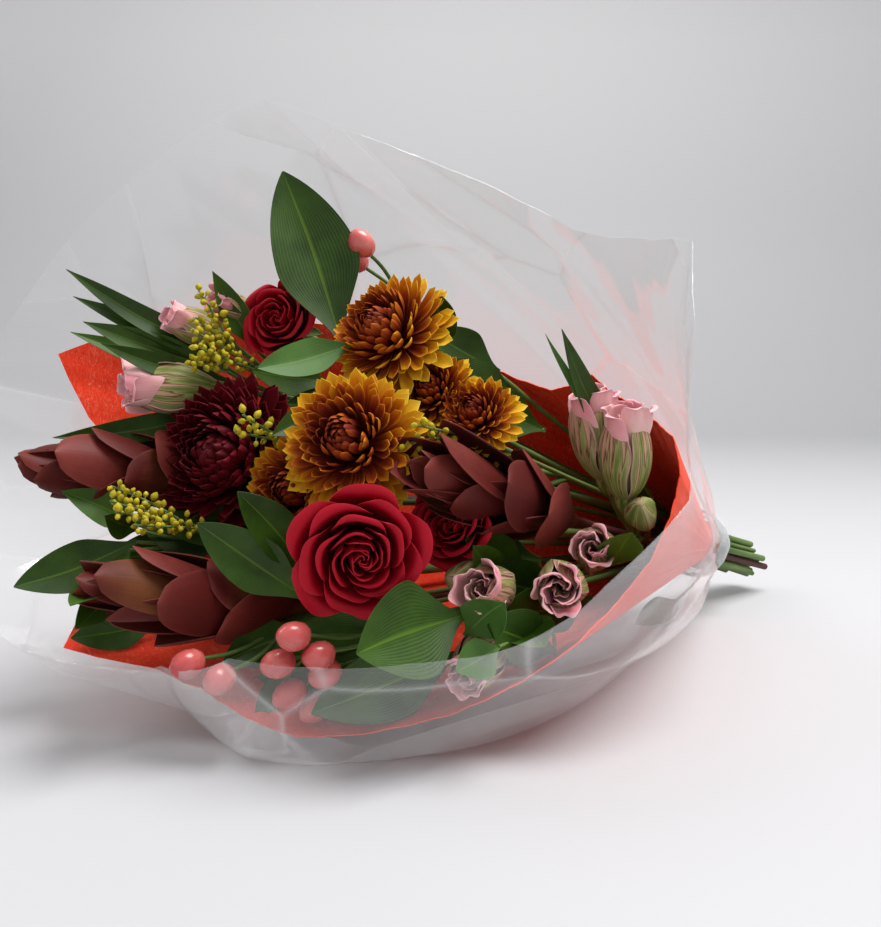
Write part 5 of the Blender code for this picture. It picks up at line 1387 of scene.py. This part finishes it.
def wrapGrid():
    rng = random.Random(wrapLook["seed"])
    s, azimuth = np.meshgrid(np.linspace(0, 1, wrapLook["rows"]),
                             360 * np.arange(wrapLook["columns"]) / wrapLook["columns"], indexing="ij")
    bellyR, bellyW, rimR, rimW = (value / 100 for value in tableAt(wrapShape, azimuth))
    t = np.clip((s * 6 - 1) / 5, 0, 1)
    mouth, collar = wrapLook["mouth"], bunch["collar"]
    firstR = mouth + (bellyR - mouth) * 0.65
    a, b, c, d = (1 - t) ** 3, 3 * t * (1 - t) ** 2, 3 * t * t * (1 - t), t ** 3
    radius = a * mouth + b * firstR + c * bellyR + d * rimR
    height = a * collar + b * bellyW * 0.47 + c * bellyW + d * rimW
    height = np.where(s < 1 / 6, -collar + s * 6 * 2 * collar, height)
    fold = 0.0012 + 0.010 * t * (1 - t) ** 2
    radius = radius + fold * np.cos(np.radians(azimuth * wrapLook["pleats"]))
    radius = radius + 0.0016 * ridges(azimuth, 5, rng, 4.0) * np.clip(t * 4, 0.25, 1) * (1 - 0.3 * t)
    for _ in range(wrapLook["creases"]):
        # Long slanting creases pressed into the film
        at, lean, deep = rng.uniform(0, 360), rng.uniform(-50, 50), rng.uniform(0.0015, 0.0040)
        off = np.abs(np.mod(azimuth - at - lean * t + 180, 360) - 180)
        radius = radius + deep * np.maximum(0, 1 - off / rng.uniform(3, 8)) * np.sin(math.pi * t)
    return layDown(toRoom(polar(azimuth, radius, height)), bunch["floorGap"])


def linerGrid():
    rng = random.Random(linerLook["seed"])
    s, azimuth = np.meshgrid(np.linspace(0, 1, linerLook["rows"]),
                             360 * np.arange(linerLook["columns"]) / linerLook["columns"], indexing="ij")
    flare, edge = tableAt(linerShape, azimuth)
    edge = edge / 100
    t = np.clip((s * 3 - 1) / 2, 0, 1)
    collar = bunch["collar"]
    height = np.where(s < 1 / 3, -collar + s * 3 * 2 * collar, collar + (edge - collar) * t)
    radius = linerLook["mouth"] + flare * edge * t
    pleat = ridges(azimuth, 7, rng, 2.0)
    radius = radius + (0.0030 * t + 0.0003) * pleat + 0.0008 * t * ridges(azimuth + 30 * t, 6, rng, 1.5)
    return layDown(toRoom(polar(azimuth, radius, height)), 2.2 * bunch["floorGap"])


def filmFinish():
    # Clear film: almost unseen face on, milky where it turns away, with a painted highlight along its crisp creases
    finish, nodes, links, shader = newFinish("clear film", 0.08, Metallic=0.30, Specular_IOR_Level=0.9)
    shader.inputs["Base Color"].default_value = (0.93, 0.94, 0.95, 1)
    place = nodes.new("ShaderNodeTexCoord").outputs["Object"]
    tilt = addNode(nodes, "ShaderNodeLayerWeight", {"Blend": 0.42})
    slant = addNode(nodes, "ShaderNodeMapping", {"Scale": (1.0, 0.42, 1.0), "Rotation": (0.4, 0.2, 0.5)})
    links.new(place, slant.inputs["Vector"])
    fold = addNode(nodes, "ShaderNodeTexVoronoi", {"Scale": 11.0}, feature="DISTANCE_TO_EDGE")
    links.new(slant.outputs["Vector"], fold.inputs["Vector"])
    cell = addNode(nodes, "ShaderNodeTexVoronoi", {"Scale": 11.0})
    links.new(slant.outputs["Vector"], cell.inputs["Vector"])
    parts = nodes.new("ShaderNodeSeparateColor")
    links.new(cell.outputs["Color"], parts.inputs[0])
    haze = addNoise(nodes, links, place, 7, 2)
    # Painted highlight: whiter, less clear lines along the creases
    line = addRamp(nodes, links, fold.outputs["Distance"], ((0.0, (1, 1, 1)), (0.012, (0.25, 0.25, 0.25)),
                                                            (0.03, (0, 0, 0))))
    edge = addMaths(nodes, links, "POWER", tilt.outputs["Facing"], 3.0)
    panel = addMaths(nodes, links, "POWER", parts.outputs[0], 2.0)
    alpha = addShare(nodes, links, 0.035, edge, 0.38)
    alpha = addShare(nodes, links, alpha, panel, 0.075)
    alpha = addShare(nodes, links, alpha, haze, 0.05)
    alpha = addShare(nodes, links, alpha, line, 0.13, clamp=True)
    links.new(alpha, shader.inputs["Alpha"])
    links.new(addShare(nodes, links, 0.03, haze, 0.14), shader.inputs["Roughness"])
    flat = addMaths(nodes, links, "MINIMUM", fold.outputs["Distance"], 0.2)
    addBump(nodes, links, shader, addShare(nodes, links, flat, haze, 0.35), 0.5, 0.02)
    return finish


def tapeFinish():
    finish, nodes, links, shader = newFinish("clear tape", 0.2, Specular_IOR_Level=0.7, Coat_Weight=0.5)
    place = nodes.new("ShaderNodeTexCoord").outputs["Object"]
    wrinkle = addNoise(nodes, links, addStretch(nodes, links, place, (1, 3, 1)), 130, 4, 0.6, 1.0)
    links.new(addRamp(nodes, links, wrinkle, ((0.3, (0.62, 0.66, 0.66)), (0.7, (0.92, 0.94, 0.94)))),
              shader.inputs["Base Color"])
    links.new(addShare(nodes, links, 0.12, wrinkle, 0.35), shader.inputs["Alpha"])
    addBump(nodes, links, shader, wrinkle, 0.5, 0.002)
    return finish


def linerFinish():
    # Non-woven liner: long pale fibres pressed into a red-orange web
    finish, nodes, links, shader = newFinish("red liner cloth", 0.82, Sheen_Weight=0.12, Specular_IOR_Level=0.15)
    shader.inputs["Sheen Tint"].default_value = (1.0, 0.6, 0.45, 1)
    place = nodes.new("ShaderNodeTexCoord").outputs["Object"]
    uv = addNode(nodes, "ShaderNodeUVMap", uv_map="petalUv").outputs["UV"]
    fibreA = addNoise(nodes, links, addStretch(nodes, links, place, (1, 7, 1)), 130, 4, 0.65, 2.2)
    fibreB = addNoise(nodes, links, addStretch(nodes, links, place, (7, 1, 2)), 110, 4, 0.65, 2.2)
    cloud = addNoise(nodes, links, place, 28, 4)
    fibre = addMaths(nodes, links, "MAXIMUM", fibreA, fibreB)
    value = addShare(nodes, links, addMaths(nodes, links, "MULTIPLY", fibre, 0.80), cloud, 0.20)
    colour = addRamp(nodes, links, value, ((0.35, (0.80, 0.020, 0.009)), (0.54, (0.94, 0.058, 0.018)),
                                           (0.63, (0.96, 0.14, 0.08)), (0.75, (0.97, 0.44, 0.38))))
    links.new(colour, shader.inputs["Base Color"])
    crease = addNoise(nodes, links, addStretch(nodes, links, uv, (40, 2, 1)), 3.0, 3)
    addBump(nodes, links, shader, addShare(nodes, links, crease, fibre, 0.5), 0.45, 0.0015)
    return finish


film = addObject("clearFilm", ringShell("clearFilm", wrapGrid(), wrapLook["thick"]))
film.visible_shadow = False
place(film, [filmFinish()], ["clear_wrap"], "clear_film", 40)
liner = addObject("linerSheet", ringShell("linerSheet", linerGrid(), linerLook["thick"]))
place(liner, [linerFinish()], ["red_liner"], "red_liner_cloth", 40)
print("film area", round(areaOf(film.data), 4), "liner area", round(areaOf(liner.data), 4))


# Tie: clear tape wound round the gathered wrap

tieLook = {"turns": 3, "radius": 0.0227, "low": -0.0072, "wide": 0.0135, "thick": 0.0003, "steps": 49, "cols": 7,
           "seed": 8}


def tieTape():
    shape = newShape()
    rng = random.Random(tieLook["seed"])
    steps, cols = tieLook["steps"], tieLook["cols"]
    angle = np.linspace(0, math.tau, steps)
    for turn in range(tieLook["turns"]):
        low = tieLook["low"] + 0.0009 * turn
        radii = tieLook["radius"] + 0.00035 * turn + 0.0005 * np.sin(5 * angle + turn) + 0.0003 * np.sin(11 * angle)
        heights = np.linspace(low, low + tieLook["wide"], cols)
        grid = np.stack([polar(np.degrees(angle), radii + 0.0004 * math.sin(3 * k + turn),
                               np.full(steps, heights[k]) + 0.0006 * np.sin(angle + turn)) for k in range(cols)], 1)
        grid[-1] = grid[0]
        addShell(shape, grid[::-1], tieLook["thick"], rng.random(), turn / 3)
    return finishShape(shape, "tieTape", [tapeFinish()], ["tie_band"], "tie_tape")


tieTape()

print("wrap, liner and tie made")


# Floor, light and camera

view = {"turn": 47.3, "dip": 7.5, "right": 0.183, "up": -0.057, "ahead": 0.682, "lens": 950 * 36 / 927}
studio = {"world": 0.64, "topLight": 28, "sideLight": 5}


def floorAndBackdrop():
    length = np.linspace(-2.4, 2.6, 60)
    rows = []
    for y in length:
        bend = max(0.0, y - 1.3)
        rows.append((min(y, 1.3 + 0.5 * math.sin(min(bend / 0.5, math.pi / 2))),
                     0.5 * (1 - math.cos(min(bend / 0.5, math.pi / 2))) + max(0.0, bend - 0.785)))
    points, faces = [], []
    turn = math.radians(view["turn"])
    for k, (y, z) in enumerate(rows):
        for x in (-4.0, 4.0):
            points.append((x * math.cos(turn) - y * math.sin(turn), x * math.sin(turn) + y * math.cos(turn), z))
        if k:
            a = 2 * k
            faces.append((a - 2, a - 1, a + 1, a))
    mesh = bpy.data.meshes.new("floor")
    mesh.from_pydata(points, [], faces)
    mesh.shade_smooth()
    item = addObject("floor", mesh)
    finish, nodes, links, shader = newFinish("pale floor", 0.6)
    place = nodes.new("ShaderNodeTexCoord").outputs["Object"]
    height = nodes.new("ShaderNodeSeparateXYZ")
    links.new(place, height.inputs[0])
    # Painted shade and light: the one sweep is darker on the floor and paler up the backdrop
    colour = addRamp(nodes, links, height.outputs[2], ((0.0, (0.54, 0.54, 0.55)), (0.9, (0.74, 0.74, 0.745))))
    links.new(colour, shader.inputs["Base Color"])
    mesh.materials.append(finish)


def areaLight(name, where, target, size, power):
    light = bpy.data.lights.new(name, "AREA")
    light.shape = "DISK"
    light.size = size
    light.energy = power
    item = bpy.data.objects.new(name, light)
    bpy.context.scene.collection.objects.link(item)
    item.location = where
    item.rotation_euler = (Vector(target) - Vector(where)).to_track_quat("-Z", "Y").to_euler()


floorAndBackdrop()
world = bpy.data.worlds.new("studio")
world.use_nodes = True
world.node_tree.nodes["Background"].inputs["Color"].default_value = (0.90, 0.90, 0.91, 1)
world.node_tree.nodes["Background"].inputs["Strength"].default_value = studio["world"]
bpy.context.scene.world = world
areaLight("topLight", (0.35, 0.30, 1.5), (0, 0, 0.1), 1.0, studio["topLight"])
areaLight("sideLight", (-1.1, -0.6, 1.1), (0, 0, 0.1), 0.9, studio["sideLight"])

turn, dip = math.radians(view["turn"]), math.radians(view["dip"])
rightWay = Vector((math.cos(turn), math.sin(turn), 0))
upWay = Vector((-math.sin(turn) * math.sin(dip), math.cos(turn) * math.sin(dip), math.cos(dip)))
aheadWay = Vector((-math.sin(turn) * math.cos(dip), math.cos(turn) * math.cos(dip), -math.sin(dip)))
eye = Vector(tieMiddle) - (rightWay * view["right"] + upWay * view["up"] + aheadWay * view["ahead"])
lens = bpy.data.cameras.new("camera")
lens.sensor_fit = "VERTICAL"
lens.sensor_height = 36
lens.sensor_width = 36 * 881 / 927
lens.lens = view["lens"]
lens.clip_start = 0.02
camera = bpy.data.objects.new("camera", lens)
bpy.context.scene.collection.objects.link(camera)
camera.matrix_world = Matrix(((rightWay.x, upWay.x, -aheadWay.x, eye.x), (rightWay.y, upWay.y, -aheadWay.y, eye.y),
                              (rightWay.z, upWay.z, -aheadWay.z, eye.z), (0, 0, 0, 1)))
bpy.context.scene.camera = camera
bpy.context.scene.view_settings.view_transform = "Standard"
lightPaths = bpy.context.scene.cycles
lightPaths.max_bounces, lightPaths.diffuse_bounces, lightPaths.glossy_bounces = 4, 2, 2
